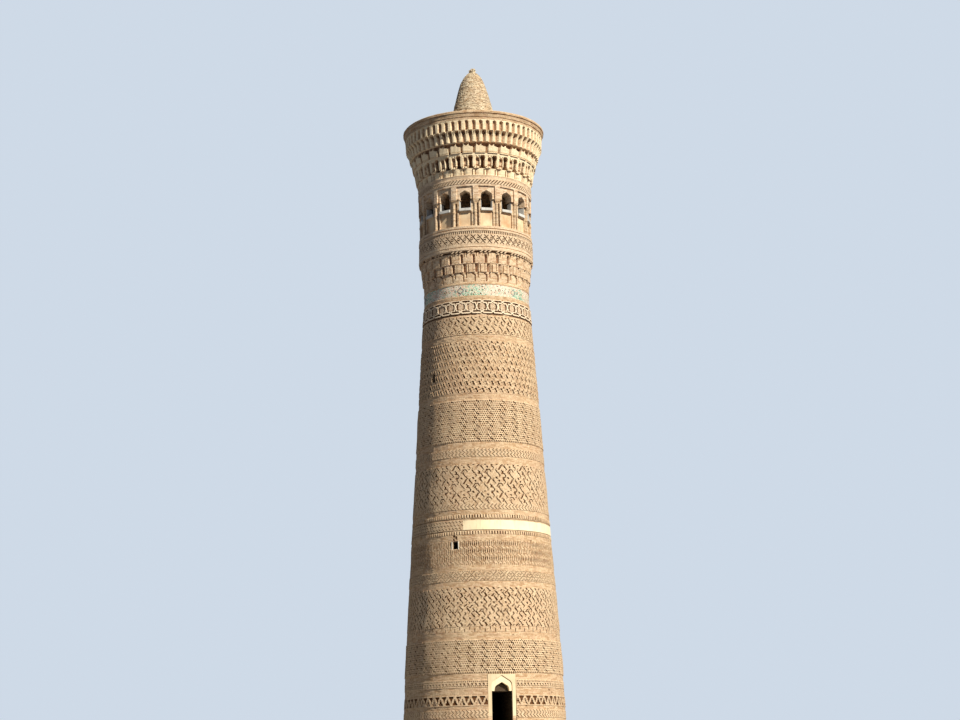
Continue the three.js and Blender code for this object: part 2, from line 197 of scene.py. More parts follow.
def relief(surface, heights, levels, radius_at, offsets=LEVELS, back=INTO_WALL, longest=4):
    """Brick relief on a round wall: one cell per entry of levels[row, column], HOLE for none."""
    columns = levels.shape[1]
    pitch = 360 / columns
    offset = np.where(levels == HOLE, back, offsets[levels])
    spread = max(offsets.max() - offsets.min(), 1e-6)

    def add(values, turns, edges, row, across, up):
        """Faces from the offset, column and edge of their corners, with brick coordinates."""
        corners = [polar(radius_at(heights[edge]) + value, turn * pitch, heights[edge])
                   for value, turn, edge in zip(values, turns, edges)]
        courses = [np.stack(np.broadcast_arrays((x + row % 2) / 2, y), axis=-1)
                   for x, y in zip(across, up)]
        depths = np.clip((np.stack(values, axis=-1) - offsets.min()) / spread, 0, 1)
        surface.add(quad(*corners), quad(*courses), depths)

    row, first, end = runs(levels, longest)
    shown = levels[row, first] != HOLE
    row, first, end = row[shown], first[shown], end[shown]
    sides, edges = (first, end, end, first), (row, row, row + 1, row + 1)
    add((offset[row, first],) * 4, sides, edges, row, sides, edges)

    left = np.roll(offset, 1, axis=1)
    row, column = np.nonzero(np.abs(left - offset) > 1e-6)
    a, b = left[row, column], offset[row, column]
    inside = column + np.where(a > b, -0.5, 0.5)
    edges = (row, row, row + 1, row + 1)
    add((a, b, b, a), (column,) * 4, edges, row, (inside,) * 4, edges)

    end_row = np.full((1, columns), back)
    below, above = np.concatenate([end_row, offset]), np.concatenate([offset, end_row])
    edge, first, end = runs(np.round(below, 4) * 1000 + np.round(above, 4), longest)
    a, b = below[edge, first], above[edge, first]
    shown = np.abs(a - b) > 1e-6
    edge, first, end, a, b = edge[shown], first[shown], end[shown], a[shown], b[shown]
    level = edge + np.where(a > b, -0.3, 0.3)
    sides = (first, end, end, first)
    add((a, a, b, b), sides, (edge,) * 4, edge, sides, (level,) * 4)


# Brick patterns: each gives the level of every cell, from 0 (sunk) to 3 (proud), from where the
# cell lies: metres across, metres down from the belt's top, column and row

def plain(across, down, column, row):
    """Flush brick with a few bricks set in."""
    draw = np.random.default_rng(SEED + column.size)
    return np.where(draw.random(column.shape) < 0.004, 1, 2)


def near_lines(across, down, lines, width, height, shift, thickness):
    """Cells close to slanting lines that repeat across and, shifted sideways, downwards."""
    found = np.zeros(across.shape, bool)
    band = np.floor(down / height)
    for step in (-1, 0, 1):
        local_down = down - (band + step) * height
        local_across = across - (band + step) * shift * width
        for x0, top, x1, foot in lines:
            middle = x0 + (local_down - top) * (x1 - x0) / (foot - top)
            gap = (local_across - middle + width / 2) % width - width / 2
            found |= (np.abs(gap) < thickness / 2) & (local_down > top) & (local_down < foot)
    return found


def hooks(lines):
    """Short strokes that turn back from both ends of every long falling line."""
    for x0, top, x1, foot in lines:
        if x1 - x0 > 0.14:
            yield x0 + 0.09, top - 0.11, x0, top
            yield x1, foot, x1 - 0.09, foot + 0.11


def grooved(lines, width, height, shift=0.5, thickness=0.09):
    """Pattern of sunk slanting strokes with shallow hooks."""
    def pattern(across, down, column, row):
        stroke = near_lines(across, down, lines, width, height, shift, thickness)
        hook = near_lines(across, down, list(hooks(lines)), width, height, shift, 0.05)
        return np.select([stroke, hook], [0, 1], 3)

    return pattern


# Strokes of one repeat, each from its upper end: across, down, across, down
LABYRINTH_LINES = [
    (0.862, 0.33, 1.127, 0.65), (0.351, 0.52, 0.623, 0.84), (0.033, 0.11, 0.199, 0.31),
    (0.597, 0.03, 0.782, 0.23), (0.497, 0.30, 0.610, 0.43), (0.385, 0.13, 0.451, 0.24),
    (1.193, 0.32, 1.300, 0.45), (0.033, 0.53, 0.123, 0.66), (0.890, 0.72, 0.950, 0.82),
    (0.225, 0.71, 0.290, 0.83), (0.431, 0.27, 0.232, 0.52), (1.200, 0.07, 1.061, 0.32),
    (0.120, 0.70, 0.000, 0.84), (1.300, 0.45, 1.240, 0.55),
]
ZIGZAG_LINES = [
    (0.953, 0.00, 1.135, 0.20), (0.104, 0.20, 0.304, 0.43), (0.519, 0.30, 0.697, 0.53),
    (0.838, 0.30, 0.928, 0.45), (0.928, 0.45, 0.853, 0.56), (1.017, 0.50, 1.202, 0.72),
    (0.045, 0.50, 0.208, 0.71), (0.378, 0.51, 0.467, 0.62), (0.467, 0.62, 0.408, 0.73),
    (0.775, 0.60, 0.957, 0.84), (0.650, 0.79, 0.700, 0.90), (0.000, 0.80, 0.050, 0.91),
    (0.840, 0.13, 0.683, 0.31), (0.045, 0.35, -0.104, 0.52), (0.510, 0.10, 0.378, 0.24),
]
DASH_LINES = [
    (0.000, 0.06, 0.212, 0.34), (0.251, 0.60, 0.447, 0.87), (0.000, 0.47, 0.090, 0.57),
    (0.022, 0.26, -0.120, 0.48), (0.212, 0.84, 0.060, 1.03), (0.215, 0.95, 0.260, 1.04),
    (0.225, 0.03, 0.262, 0.11),
]
# Widths of one repeat
LABYRINTH_WIDTH, ZIGZAGS_WIDTH, DASHES_WIDTH, BLOCKS_WIDTH = 1.326, 1.306, 0.447, 0.21
GIRIH_WIDTH, WEAVE_WIDTH, ZIGZAG_WIDTH, NET_WIDTH = 0.62, 0.352, 0.43, 0.38

labyrinth = grooved(LABYRINTH_LINES, LABYRINTH_WIDTH, 0.79)
zigzags = grooved(ZIGZAG_LINES, ZIGZAGS_WIDTH, 0.81)
dash_rows = grooved(DASH_LINES, DASHES_WIDTH, 1.06, shift=0, thickness=0.105)
blocks = grooved([(0.0, 0.02, 0.13, 0.15)], BLOCKS_WIDTH, 0.19, thickness=0.07)


def girih(across, down, column, row):
    """Linked octagons, a boss in each, their straps woven over rails at head and foot."""
    side = np.abs((across + GIRIH_WIDTH / 2) % GIRIH_WIDTH - GIRIH_WIDTH / 2)
    rise = np.abs(0.39 - down)

    def strap(x0, y0, x1, y1):
        length = math.hypot(x1 - x0, y1 - y0)
        along = ((side - x0) * (x1 - x0) + (rise - y0) * (y1 - y0)) / length
        off = np.abs((side - x0) * (y1 - y0) - (rise - y0) * (x1 - x0)) / length
        return (off < 0.030) & (along > -0.02) & (along < length + 0.02)

    rails = strap(0.10, 0.375, 0.31, 0.375) | strap(0.10, 0.225, 0.24, 0.225)
    knots = strap(0, 0.30, 0.10, 0.375) | strap(0, 0.30, 0.10, 0.225) | strap(0.24, 0.225, 0.31, 0.0)
    boss = (side < 0.15) & (rise < 0.20) & (side + 0.5 * rise < 0.19)
    return np.select([rails | knots, boss], [3, 2], 0)


def weave(across, down, column, row):
    """Steep sunk dashes in staggered rows, a dot between each pair and a proud strand beside."""
    def near(lines, thickness):
        return near_lines(across, down, lines, WEAVE_WIDTH, 0.42, 0.5, thickness)

    dash, dot = near([(0.02, 0.25, 0.135, 0.52)], 0.1), near([(0.18, 0.15, 0.20, 0.26)], 0.05)
    faint = near([(0.25, 0.36, 0.26, 0.42)], 0.05)
    strand = near([(0.09, 0.23, 0.21, 0.52), (-0.05, 0.23, 0.06, 0.52)], 0.06)
    return np.select([dash | dot, faint, strand], [0, 1, 3], 2)


def dotted(across, down, column, row):
    """Fine staggered pits, some filled, with thin falling strokes across them."""
    draw = np.random.default_rng(SEED + 11)
    filled = draw.random(column.shape) < 0.2
    pit = (row % 2 == 0) & ((column + row // 2) % 2 == 0)
    diagonal, line = (column + row) % 6, (column + row) // 6
    groove = (diagonal == 0) & ((row + 6 * (line % 2)) % 12 < 7)
    return np.select([groove | pit & ~filled, pit], [0, 1], 3)


def braid(across, down, column, row):
    """Rows of little slanting pits that lean one way, then the other."""
    lean = np.where(row // 2 % 2 == 0, column + row, column - row)
    return np.where(lean % 4 == 0, 0, 3)


def fine_diamonds(across, down, column, row):
    falling, rising = (column + row) % 12, (column - row) % 12
    edge = (falling == 0) | (rising == 0)
    inner = (falling % 4 == 0) & (rising > 3) & (rising < 9)
    return np.where(edge | inner | (falling % 4 == 2) & (row % 3 == 1), 0, 3)


def upright_strokes(across, down, column, row):
    """Rows of fine upright strokes with rows of small slanting marks between."""
    part = (row + 3) % 6
    stroke = (column % 2 == 0) & (part < 4)
    mark = (part >= 4) & ((column + part) % 4 == 0)
    return np.select([stroke & (part > 0) & (part < 3), stroke | mark], [0, 1], 2)


def dentils(across, down, column, row):
    return np.where(column % 2 == 0, 0, 3)


def teeth(across, down, column, row):
    """Slanting bricks set apart in a dark groove, some lost."""
    draw = np.random.default_rng(SEED)
    kept = np.repeat(draw.random(column.shape[1] // 5 + 1) < 0.85, 5)[:column.shape[1]]
    return np.where(((column - row) % 5 < 2) & kept, 3, 0)


def upright_dashes(across, down, column, row):
    high = (column % 12 == 0) & (row > 1)
    low = (column % 12 == 6) & (row < 3)
    return np.where(high | low, 0, 2)


def zipper(across, down, column, row):
    outer = (column % 2 == 0) & ((row == 1) | (row == 5))
    inner = (column % 4 < 2) & ((row == 3) | (row == 2) & (column % 2 == 1))
    return np.where(outer | inner, 0, 3)


def zigzag(across, down, column, row):
    """A proud zigzag strip on a sunk ground."""
    half = ZIGZAG_WIDTH / 2
    lines = [(0, 0.06, half, 0.50), (ZIGZAG_WIDTH, 0.06, half, 0.50)]
    proud = near_lines(across, down, lines, ZIGZAG_WIDTH, 0.56, 0, 0.11)
    return np.where(proud | (row < 1) | (row > 10), 3, 0)


def net(across, down, column, row):
    """Slanting grooves with an eye between every two and short marks at head and foot."""
    up = down - 0.29
    side = across % NET_WIDTH - NET_WIDTH / 2
    slanting = (across - 0.85 * up) % NET_WIDTH - NET_WIDTH / 2
    groove = (np.abs(slanting) > 0.16) & (np.abs(up) < 0.27)
    eye = np.abs(np.hypot(side, up) - 0.07) < 0.024
    lines = [(0.44, 0.02, 0.33, 0.15), (0.43, 0.43, 0.32, 0.56)]
    mark = near_lines(across, down, lines, NET_WIDTH, 0.58, 0, 0.06)
    return np.where(groove | eye | mark, 0, 3)


def grooves(across, down, column, row):
    return np.where(row % 2 == 1, 1, 2)


def rope(across, down, column, row):
    return np.where((column - row) % 5 < 2, 0, 3)


def tiles(across, down, column, row):
    """Glazed band: a net of small tiles with hollow diamonds let in, some glaze lost."""
    draw = np.random.default_rng(SEED + 3)
    lost = draw.random(column.shape) < 0.05
    side, small = np.abs(column % 60 - 30), np.abs(column % 60 - 12)
    up = np.abs(row - 5.5)
    big_diamond = np.abs(side + up - 3.5) < 0.8
    wings = np.abs(side - 6) + up < 1
    little = np.abs(small + up - 1.5) < 0.8
    return np.select([big_diamond | wings, lost | little], [3, 0], 2)


# Patterns with the width of one repeat and its columns
PLAIN = plain, 0.13, 1
GROOVES = grooves, 0.13, 1
BRAID = braid, 0.21, 4
DENTILS = dentils, 0.152, 2
DOTTED = dotted, 0.735, 12
LABYRINTH = labyrinth, LABYRINTH_WIDTH, 36

# Belts up the shaft: foot, name, pattern, width of one repeat, its columns, rows of cells
BELTS = [
    (PLINTH_TOP, "foot_plain", *PLAIN, 10),
    (1.60, "foot_plain_1", *PLAIN, 28),
    (3.62, "foot_plain_2", *PLAIN, 6),
    (4.04, "foot_labyrinth", *LABYRINTH, 37),
    (6.12, "foot_plain_3", *PLAIN, 6),
    (6.54, "foot_braid", *BRAID, 7),
    (6.96, "foot_plain_4", *PLAIN, 3),
    (7.18, "zigzag", zigzag, ZIGZAG_WIDTH, 12, 12),
    (7.74, "plain_1", *PLAIN, 6),
    (8.15, "zipper", zipper, 0.21, 4, 7),
    (8.56, "plain_2", *PLAIN, 5),
    (8.93, "dotted_low", *DOTTED, 30),
    (10.74, "plain_3", *PLAIN, 6),
    (11.15, "upright_dashes", upright_dashes, 0.56, 12, 5),
    (11.45, "zigzags", zigzags, ZIGZAGS_WIDTH, 36, 38),
    (13.58, "plain_4", *PLAIN, 5),
    (13.96, "fine_diamonds", fine_diamonds, 0.60, 12, 11),
    (14.51, "plain_5", *PLAIN, 5),
    (14.84, "strokes", upright_strokes, 0.234, 4, 20),
    (16.21, "plain_6", *PLAIN, 5),
    (16.54, "dentils_low", *DENTILS, 1),
    (16.72, "groove_low", *GROOVES, 2),
    (16.79, "blocks", blocks, BLOCKS_WIDTH, 6, 15),
    (17.35, "groove_high", *GROOVES, 3),
    (17.47, "dentils_high", *DENTILS, 1),
    (17.65, "plain_7", *PLAIN, 4),
    (17.95, "fine_braid", *BRAID, 5),
    (18.25, "labyrinth", *LABYRINTH, 40),
    (20.51, "plain_8", *PLAIN, 6),
    (20.95, "braid", *BRAID, 8),
    (21.40, "plain_9", *PLAIN, 6),
    (21.82, "dotted_high", *DOTTED, 40),
    (24.24, "plain_10", *PLAIN, 5),
    (24.61, "weave", weave, WEAVE_WIDTH, 8, 51),
    (27.71, "plain_11", *PLAIN, 6),
    (28.12, "dash_rows", dash_rows, DASHES_WIDTH, 12, 19),
    (29.20, "plain_12", *PLAIN, 1),
    (29.27, "girih", girih, GIRIH_WIDTH, 20, 26),
    (30.18, "plain_13", *PLAIN, 1),
]
BELTS_TOP = 30.25
# Angles where a repeat begins
STARTS = {"labyrinth": -12.4, "zigzags": -4.4, "dash_rows": -2.4, "weave": -3.4, "girih": -6.9}
DEEP_LEVELS = {
    girih: np.array([0.01, 0.03, 0.058, 0.08]),
    dotted: np.array([0.002, 0.02, 0.05, 0.075]),
}

# Fine plaster panel let into one belt: angles of its sides, heights of its foot and head
PLASTER_PANEL = (-26.9, 80.0, 16.80, 17.34)


def cut_hole(levels, heights, left, right, low, high, level=HOLE):
    """Sets the level of the cells whose middle lies in a range of angles and heights."""
    columns = levels.shape[1]
    angle = ((np.arange(columns) + 0.5) * 360 / columns + 180) % 360 - 180
    height = (heights[:-1] + heights[1:]) / 2
    inside = (angle > left) & (angle < right)
    levels[np.outer((height > low) & (height < high), inside)] = level


def shaft_openings():
    """Angles and heights of the doorway, the plaster panel and the stair windows."""
    yield -DOOR_HALF_ANGLE, DOOR_HALF_ANGLE, DOOR_FOOT, DOOR_TOP
    yield PLASTER_PANEL
    for window in STAIR_WINDOWS:
        radius = float(shaft_radius(window["sill"]))
        left, right = (math.degrees((window["width"] / 2 + white) / radius) for white in window["strips"])
        high = window["sill"] + window["height"]
        yield window["angle"] - left, window["angle"] + right, window["sill"], high


def draw_pattern(pattern, radius, heights, width, columns, start=0.0):
    """Levels of a ring of cells in whole repeats, rows counted from the foot; a repeat begins at
    the angle `start`."""
    around = round(2 * math.pi * radius / width) * columns
    row, column = np.indices((len(heights) - 1, around))
    across = (column + 0.5 - start / 360 * around) * width / columns
    middles = (heights[:-1] + heights[1:]) / 2
    down = np.broadcast_to((heights[-1] - middles)[:, None], row.shape)
    return pattern(across, down, column, row)


def add_belts():
    tops = [belt[0] for belt in BELTS[1:]] + [BELTS_TOP]
    for (low, name, pattern, width, columns, rows), high in zip(BELTS, tops):
        heights = np.linspace(low, high, rows + 1)
        radius = float(shaft_radius((low + high) / 2))
        levels = draw_pattern(pattern, radius, heights, width, columns, STARTS.get(name, 0.0))
        for opening in shaft_openings():
            cut_hole(levels, heights, *opening)
        for place in DAMAGE:
            cut_hole(levels, heights, *place, level=0)
        surface = Surface()
        relief(surface, heights, levels, shaft_radius, DEEP_LEVELS.get(pattern, LEVELS))
        look = {plain: "baked_brick", girih: "pale_patterned"}.get(pattern, "patterned_brick")
        surface.piece("belt_" + name, "brick", look)


def turned(edges, start, end):
    """Faces between neighbouring angles, from one (radius, height) to another. They look outwards
    where the height grows, and up where the radius shrinks."""
    a, b = edges[:-1], edges[1:]
    (r0, z0), (r1, z1) = start, end
    return quad(polar(r0, a, z0), polar(r0, b, z0), polar(r1, b, z1), polar(r1, a, z1))


def strip(surface, left, right, start, end):
    """A curved face between two angles, from one (radius, height) to another."""
    count = math.ceil((right - left) / STRIP_STEP)
    surface.add(turned(np.linspace(left, right, count + 1), start, end))


def lathe(surface, profile, sides=128):
    """A ring turned from a profile of (radius, height) points, up its outer side."""
    for start, end in zip(profile[:-1], profile[1:]):
        surface.add(turned(np.linspace(0, 360, sides + 1), start, end))


def cheek(surface, angle, inner, outer, low, high, side):
    """An upright face along a radius of the tower, looking left (side -1) or right (side 1)."""
    corners = [polar(outer, angle, low), polar(inner, angle, low), polar(inner, angle, high),
               polar(outer, angle, high)]
    surface.add(corners[::side])


ARCH_STEPS = 7


def arch_line(half, spring, apex):
    """Points across and up along a flat pointed arch, from its left springing to its right one."""
    across = np.sin(np.linspace(-math.pi / 2, math.pi / 2, 2 * ARCH_STEPS + 1))
    side = np.abs(across)
    up = spring + (apex - spring) * (1 - 0.5 * side) * np.sqrt(np.maximum(1 - side ** 12, 0))
    return across * half, up


def arched(surface, middle, line, foot, high, face, back):
    """The face over an arched opening and the reveal round it, from radius `face` in to `back`.
    The arch is a line of points across, in degrees, and up."""
    across, up = line
    angles = middle + across
    surface.add(quad(polar(face, angles[:-1], up[:-1]), polar(face, angles[1:], up[1:]),
                     polar(face, angles[1:], high), polar(face, angles[:-1], high)))
    edge = np.concatenate([[angles[0]], angles, [angles[-1]]])
    edge_up = np.concatenate([[foot], up, [foot]])
    a, b, low, top = edge[:-1], edge[1:], edge_up[:-1], edge_up[1:]
    # The reveal's back edge gets a low depth, so brick materials paint shade into the reveal.
    surface.add(quad(polar(face, a, low), polar(back, a, low), polar(back, b, top), polar(face, b, top)),
                depths=np.array([1, 0.3, 0.3, 1.0]))


def falloff(value, near, far):
    """1 up to `near`, 0 from `far` on."""
    return np.clip((far - value) / (far - near), 0, 1)


def bay_distance(across, centre, width):
    """Distance from a line at `centre` in a bay that repeats every `width`."""
    return np.abs((across - centre + width / 2) % width - width / 2)


# Relief of one bay of each muqarnas tier: how far its face stands out, at metres across from the
# bay's centre and metres up from the tier's foot

def flutes(across, up, width):
    """Channels with flat backs and pointed heads, between ribs."""
    side = np.abs(across)
    head = 0.575 - 0.6 * side
    return np.where(up < head, -0.16 * falloff(side, 0.05, 0.12), 0)


def hoods(across, up, width):
    """Pleats under dark six-sided hoods, with ribs that lean out on both sides."""
    side = np.abs(across)
    valley = np.where(up < 0.5, -0.15 * falloff(side, 0, 0.14), 0)
    rib = 0.13 * np.clip((up - 0.30) / 0.35, 0, 1) ** 1.5 * falloff(np.abs(side - 0.14), 0.02, 0.06)
    hood = side < 0.115 * falloff(np.abs(up - 0.54), 0.04, 0.13)
    return np.where(hood, -0.21, valley + rib)


def broad_plates(across, up, width):
    """Wide plates between slots that slope out to the right, and deep recesses over them, darkened with
    painted shade by the material.
    """
    slot = np.where(np.abs(across) < 0.08, -0.17 * (0.08 - across) / 0.16, 0)
    ledge_line = np.where(np.abs(up - 0.05) < 0.017, -0.035, 0)
    large = (bay_distance(across, -0.13, width) < 0.21 * falloff(0.42 - up, 0, 0.08)) & (up < 0.60)
    small = (bay_distance(across, 0.25, width) < 0.14 * falloff(0.50 - up, 0, 0.08)) & (up < 0.60)
    return np.select([large, small, up < 0.60], [-0.22, -0.16, slot + ledge_line], 0.02)


def keyholes(across, up, width):
    """Tall deep niches with round heads and spreading feet, and small ones between."""
    side = np.abs(across)
    tall = (side < 0.09 + 0.10 * falloff(up, 0.02, 0.16)) & (up < 0.62)
    tall |= np.hypot(side, up - 0.60) < 0.145
    away = bay_distance(across, 0.42, width)
    small = (away < 0.085) & (up > 0.10) & (up < 0.54) | (np.hypot(away, up - 0.54) < 0.085)
    floor = np.where(up > 0.42, -0.17, np.where(up > 0.22, -0.09, -0.14))
    edge = np.minimum(np.abs(side - 0.09), np.abs(away - 0.085))
    rounded = -0.05 * falloff(edge, 0, 0.05) * (up < 0.7)
    corbel = np.where(np.abs(up - 0.19 + 0.7 * np.abs(away - 0.02)) < 0.02, -0.05, 0)
    return np.select([tall, small], [-0.33, floor], rounded + corbel)


def paired_lines(across, up, width):
    """Plates parted by pairs of upright grooves."""
    groove = (np.abs(np.abs(across) - 0.09) < 0.03) & (up > 0.03) & (up < 0.35)
    slope = -0.05 * falloff(bay_distance(across, 0.12, width), 0, 0.2)
    return np.where(groove, -0.12, slope)


def slits(across, up, width):
    """Narrow slits, each with a groove that climbs to the left from its head."""
    slit = (np.abs(across) < 0.03) & (up > 0.08) & (up < 0.46)
    climb = (np.abs(up - 0.44 + 0.75 * across) < 0.045) & (across < 0.02) & (across > -0.2)
    notch = (bay_distance(across, 0.17, width) < 0.04) & (up > 0.30)
    return np.select([slit | climb, notch], [-0.11, -0.07], 0)


def slots(across, up, width):
    """Plates that lap each other like boards."""
    slot = np.where(np.abs(across) < 0.10, -0.19 * (0.10 - across) / 0.20, 0)
    line = bay_distance(across, -0.25, width) < 0.018
    narrow = (bay_distance(across, 0.18, width) < 0.03) & (up < 0.42)
    return np.select([narrow, line & (up > 0.05)], [-0.09, -0.06], slot)


def small_arches(across, up, width):
    """Small pointed niches between plates with faint upright grooves and a narrow slot."""
    side = np.abs(across)
    arch = (up > 0.05) & (up < 0.55 - 0.7 * side)
    grooves_at = np.minimum(bay_distance(across, 0.29, width), bay_distance(across, -0.17, width))
    narrow = (bay_distance(across, 0.16, width) < 0.03) & (up > 0.12)
    carved = np.select([narrow, grooves_at < 0.015], [-0.08, -0.03], 0)
    return np.where(arch, -0.17 * falloff(side, 0.02, 0.10), carved)


# Muqarnas tiers: node, foot, head, radii at foot and head, bays, angle of the first, relief, and
# the columns and rows of one bay
TIERS = [
    ("lower_muqarnas_1", 31.24, 31.84, 3.10, 3.15, 29, -13.6, slits, 28, 20),
    ("lower_muqarnas_2", 31.84, 32.34, 3.205, 3.23, 29, -11.3, slots, 28, 16),
    ("lower_muqarnas_3", 32.34, 32.96, 3.25, 3.29, 29, -14.8, small_arches, 28, 20),
    ("cornice_tier_1", 37.66, 38.06, 3.36, 3.40, 31, -12.7, paired_lines, 28, 12),
    ("cornice_tier_2", 38.06, 38.93, 3.48, 3.62, 31, -4.2, keyholes, 30, 30),
    ("cornice_tier_3", 38.93, 39.55, 3.68, 3.80, 31, -11.7, broad_plates, 30, 22),
    ("cornice_tier_4", 39.55, 40.20, 3.88, 3.98, 62, -9.4, hoods, 16, 22),
    ("cornice_tier_5", 40.20, 40.82, 4.09, 4.12, 62, -12.2, flutes, 16, 20),
]
TIER_INNER = 0.36


def cells(grid):
    """The corners of every cell of a grid: lower left, lower right, upper right and upper left."""
    return grid[:-1, :-1], grid[:-1, 1:], grid[1:, 1:], grid[1:, :-1]


def add_tier(surface, low, high, foot_radius, head_radius, bays, start, shape, columns, rows):
    width = math.pi * (foot_radius + head_radius) / bays
    column, row = np.meshgrid(np.arange(columns + 1) / columns - 0.5, np.linspace(0, 1, rows + 1))
    offsets = shape(column * width, row * (high - low), width)
    offsets[:, -1] = offsets[:, 0]
    radii = foot_radius + (head_radius - foot_radius) * row + offsets
    heights = low + (high - low) * row
    depths = np.stack(cells(falloff(-offsets, 0.0, 0.28)), axis=-1).reshape(-1, 4)

    def one(target, centre):
        angles = centre + column * 360 / bays
        points = polar(radii, angles, heights)
        inside = polar(foot_radius - TIER_INNER, angles, heights)
        target.add(quad(*cells(points)), depths=depths)
        # The underside at the foot gets a lower depth than the top, so the material paints a little shade
        # under the tier.
        target.add(quad(inside[0, :-1], inside[0, 1:], points[0, 1:], points[0, :-1]), depths=0.6)
        target.add(quad(points[-1, :-1], points[-1, 1:], inside[-1, 1:], inside[-1, :-1]))

    surface.add_around(bays, start * bays / 360, one)


def add_tiers():
    for node, *form in TIERS:
        surface = Surface()
        add_tier(surface, *form)
        look = "cornice_brick" if node.startswith("cornice") else "muqarnas_brick"
        piece = surface.piece(node + "_bays", "patterned_brick", look)
        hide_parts(node)


def ring(surface, low, high, radius, pattern, width, columns, rows, offsets=LEVELS, back=INTO_WALL):
    """A patterned ring of brick relief, of one radius."""
    heights = np.linspace(low, high, rows + 1)
    levels = draw_pattern(pattern, radius, heights, width, columns)
    relief(surface, heights, levels, lambda height: radius, offsets, back)


RING_LEVELS = np.array([-0.03, 0.025, 0.04, 0.055])
TEETH_LEVELS = np.array([-0.12, 0, 0, 0.04])
DRUM_RADIUS = 3.335
DRUM_CORE = 3.1
DRUM_BACK = -0.2
# Patterned rings under the lantern: foot, head, radius, pattern, width of one repeat, its columns,
# rows of cells, levels and how deep the back lies
DRUM_RINGS = [
    (32.97, 33.09, DRUM_RADIUS, teeth, 0.24, 5, 3, TEETH_LEVELS, DRUM_BACK),
    (33.48, 34.06, DRUM_RADIUS, net, NET_WIDTH, 14, 18, RING_LEVELS, DRUM_BACK),
    (34.09, 34.27, DRUM_RADIUS, dentils, 0.12, 2, 1, TEETH_LEVELS, DRUM_BACK),
]


def add_drum():
    """Rings under the lantern: teeth, two mouldings, slanting grooves with eyes, and dentils."""
    surface = Surface()
    for form in DRUM_RINGS:
        ring(surface, *form)
    outer = DRUM_RADIUS + FLUSH
    lathe(surface, [(DRUM_CORE, 33.09), (outer, 33.09), (outer + 0.012, 33.11), (outer + 0.012, 33.25),
                    (outer - 0.03, 33.27), (outer - 0.03, 33.30), (outer + 0.006, 33.31),
                    (outer + 0.006, 33.45), (outer - 0.02, 33.48), (DRUM_CORE, 33.48)])
    lathe(surface, [(DRUM_CORE, 34.06), (outer, 34.06), (outer, 34.09), (DRUM_CORE, 34.09)])
    lathe(surface, [(DRUM_CORE, 34.27), (outer + 0.012, 34.27), (outer + 0.012, LANTERN_FOOT),
                    (2.7, LANTERN_FOOT)])
    piece = surface.piece("lantern_drum_rings", "patterned_brick", "ring_brick")
    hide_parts("lantern_drum")


TILE_LOW, TILE_HIGH = 30.46, 31.10
TILE_RADIUS, TILE_CORE = 3.06, 2.9


def add_tile_band():
    """Ring of glazed tiles between two brick mouldings."""
    surface = Surface()
    ring(surface, TILE_LOW, TILE_HIGH, TILE_RADIUS, tiles, 3.3, 60, 12, back=-0.15)
    piece = surface.piece("tile_band_glaze", "glazed_tile", "glazed_tile")
    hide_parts("tile_band")
    mouldings = Surface()
    lathe(mouldings, [(TILE_CORE, BELTS_TOP), (3.13, BELTS_TOP), (3.135, 30.27), (3.135, 30.42),
                      (3.10, TILE_LOW), (TILE_CORE, TILE_LOW)])
    lathe(mouldings, [(TILE_CORE, TILE_HIGH), (3.10, TILE_HIGH), (3.125, 31.13), (3.125, 31.22),
                      (3.10, 31.24), (TILE_CORE, 31.24)])
    mouldings.piece("tile_band_mouldings", "patterned_brick", "baked_brick")


def lift(plan, height):
    """Points of a ground plan, at a height."""
    return np.column_stack([plan, np.full(len(plan), height)])


def prism(surface, outline, low, high, depths=1.0):
    """An upright prism on a ground plan, counter-clockwise seen from above, open at both ends."""
    plan = np.asarray(outline, float)
    after = np.roll(plan, -1, axis=0)
    corners = quad(lift(plan, low), lift(after, low), lift(after, high), lift(plan, high))
    surface.add(corners, depths=depths)


def slab(surface, angle, left, right, inner, outer, low, high):
    """A straight block across a radius of the tower: left and right are metres from that radius."""
    turn = np.radians(angle)
    out = np.array([math.sin(turn), -math.cos(turn)])
    across = np.array([math.cos(turn), math.sin(turn)])
    plan = [out * inner + across * left, out * outer + across * left,
            out * outer + across * right, out * inner + across * right]
    prism(surface, plan, low, high)
    surface.add(lift(plan[:1] + plan[:0:-1], low))
    surface.add(lift(plan, high))


def pier_plan(angle, half):
    """Ground plan of a pier between openings of a half width, and the groove of its colonnette."""
    bay = 180 / BAYS
    jamb_out = bay - math.degrees(math.asin(half / JAMB_RADIUS))
    jamb_in = bay - math.degrees(math.asin(half / INNER_RADIUS))
    left, right = math.degrees(GROOVE_LEFT / JAMB_RADIUS), math.degrees(GROOVE_RIGHT / JAMB_RADIUS)
    stations = [(INNER_RADIUS, -jamb_in), (JAMB_RADIUS, -jamb_out), (JAMB_RADIUS, left),
                (GROOVE_RADIUS, left), (GROOVE_RADIUS, right), (JAMB_RADIUS, right),
                (JAMB_RADIUS, jamb_out), (INNER_RADIUS, jamb_in)]
    return [polar(radius, angle + turn, 0)[:2] for radius, turn in stations]


# Depth for each face of a pier's plan: low on the grooves and the inner face, so the material paints shade
# there.
PIER_SHADE_DEPTHS = np.array([0.7, 1, 0.55, 0.55, 0.55, 1, 0.7, 0])[:, None]
COLONNETTE = [(0.10, 34.57), (0.10, 34.63), (0.085, 34.66), (0.085, 35.38), (0.10, 35.40), (0.105, 35.45),
              (0.10, 35.50), (0.085, 35.52), (0.085, 35.90), (0.10, 35.92), (0.105, 35.96), (0.10, 36.01)]


def colonnette(surface, angle):
    centre = polar(COLUMN_RADIUS, angle + math.degrees(COLUMN_SHIFT / COLUMN_RADIUS), 0)
    edges = np.radians(np.linspace(0, 360, 15))
    circle = np.stack([np.cos(edges), np.sin(edges)], axis=-1)
    rings = [lift(circle * radius + centre[:2], height) for radius, height in COLONNETTE]
    for low, high in zip(rings[:-1], rings[1:]):
        surface.add(quad(low[:-1], low[1:], high[1:], high[:-1]))


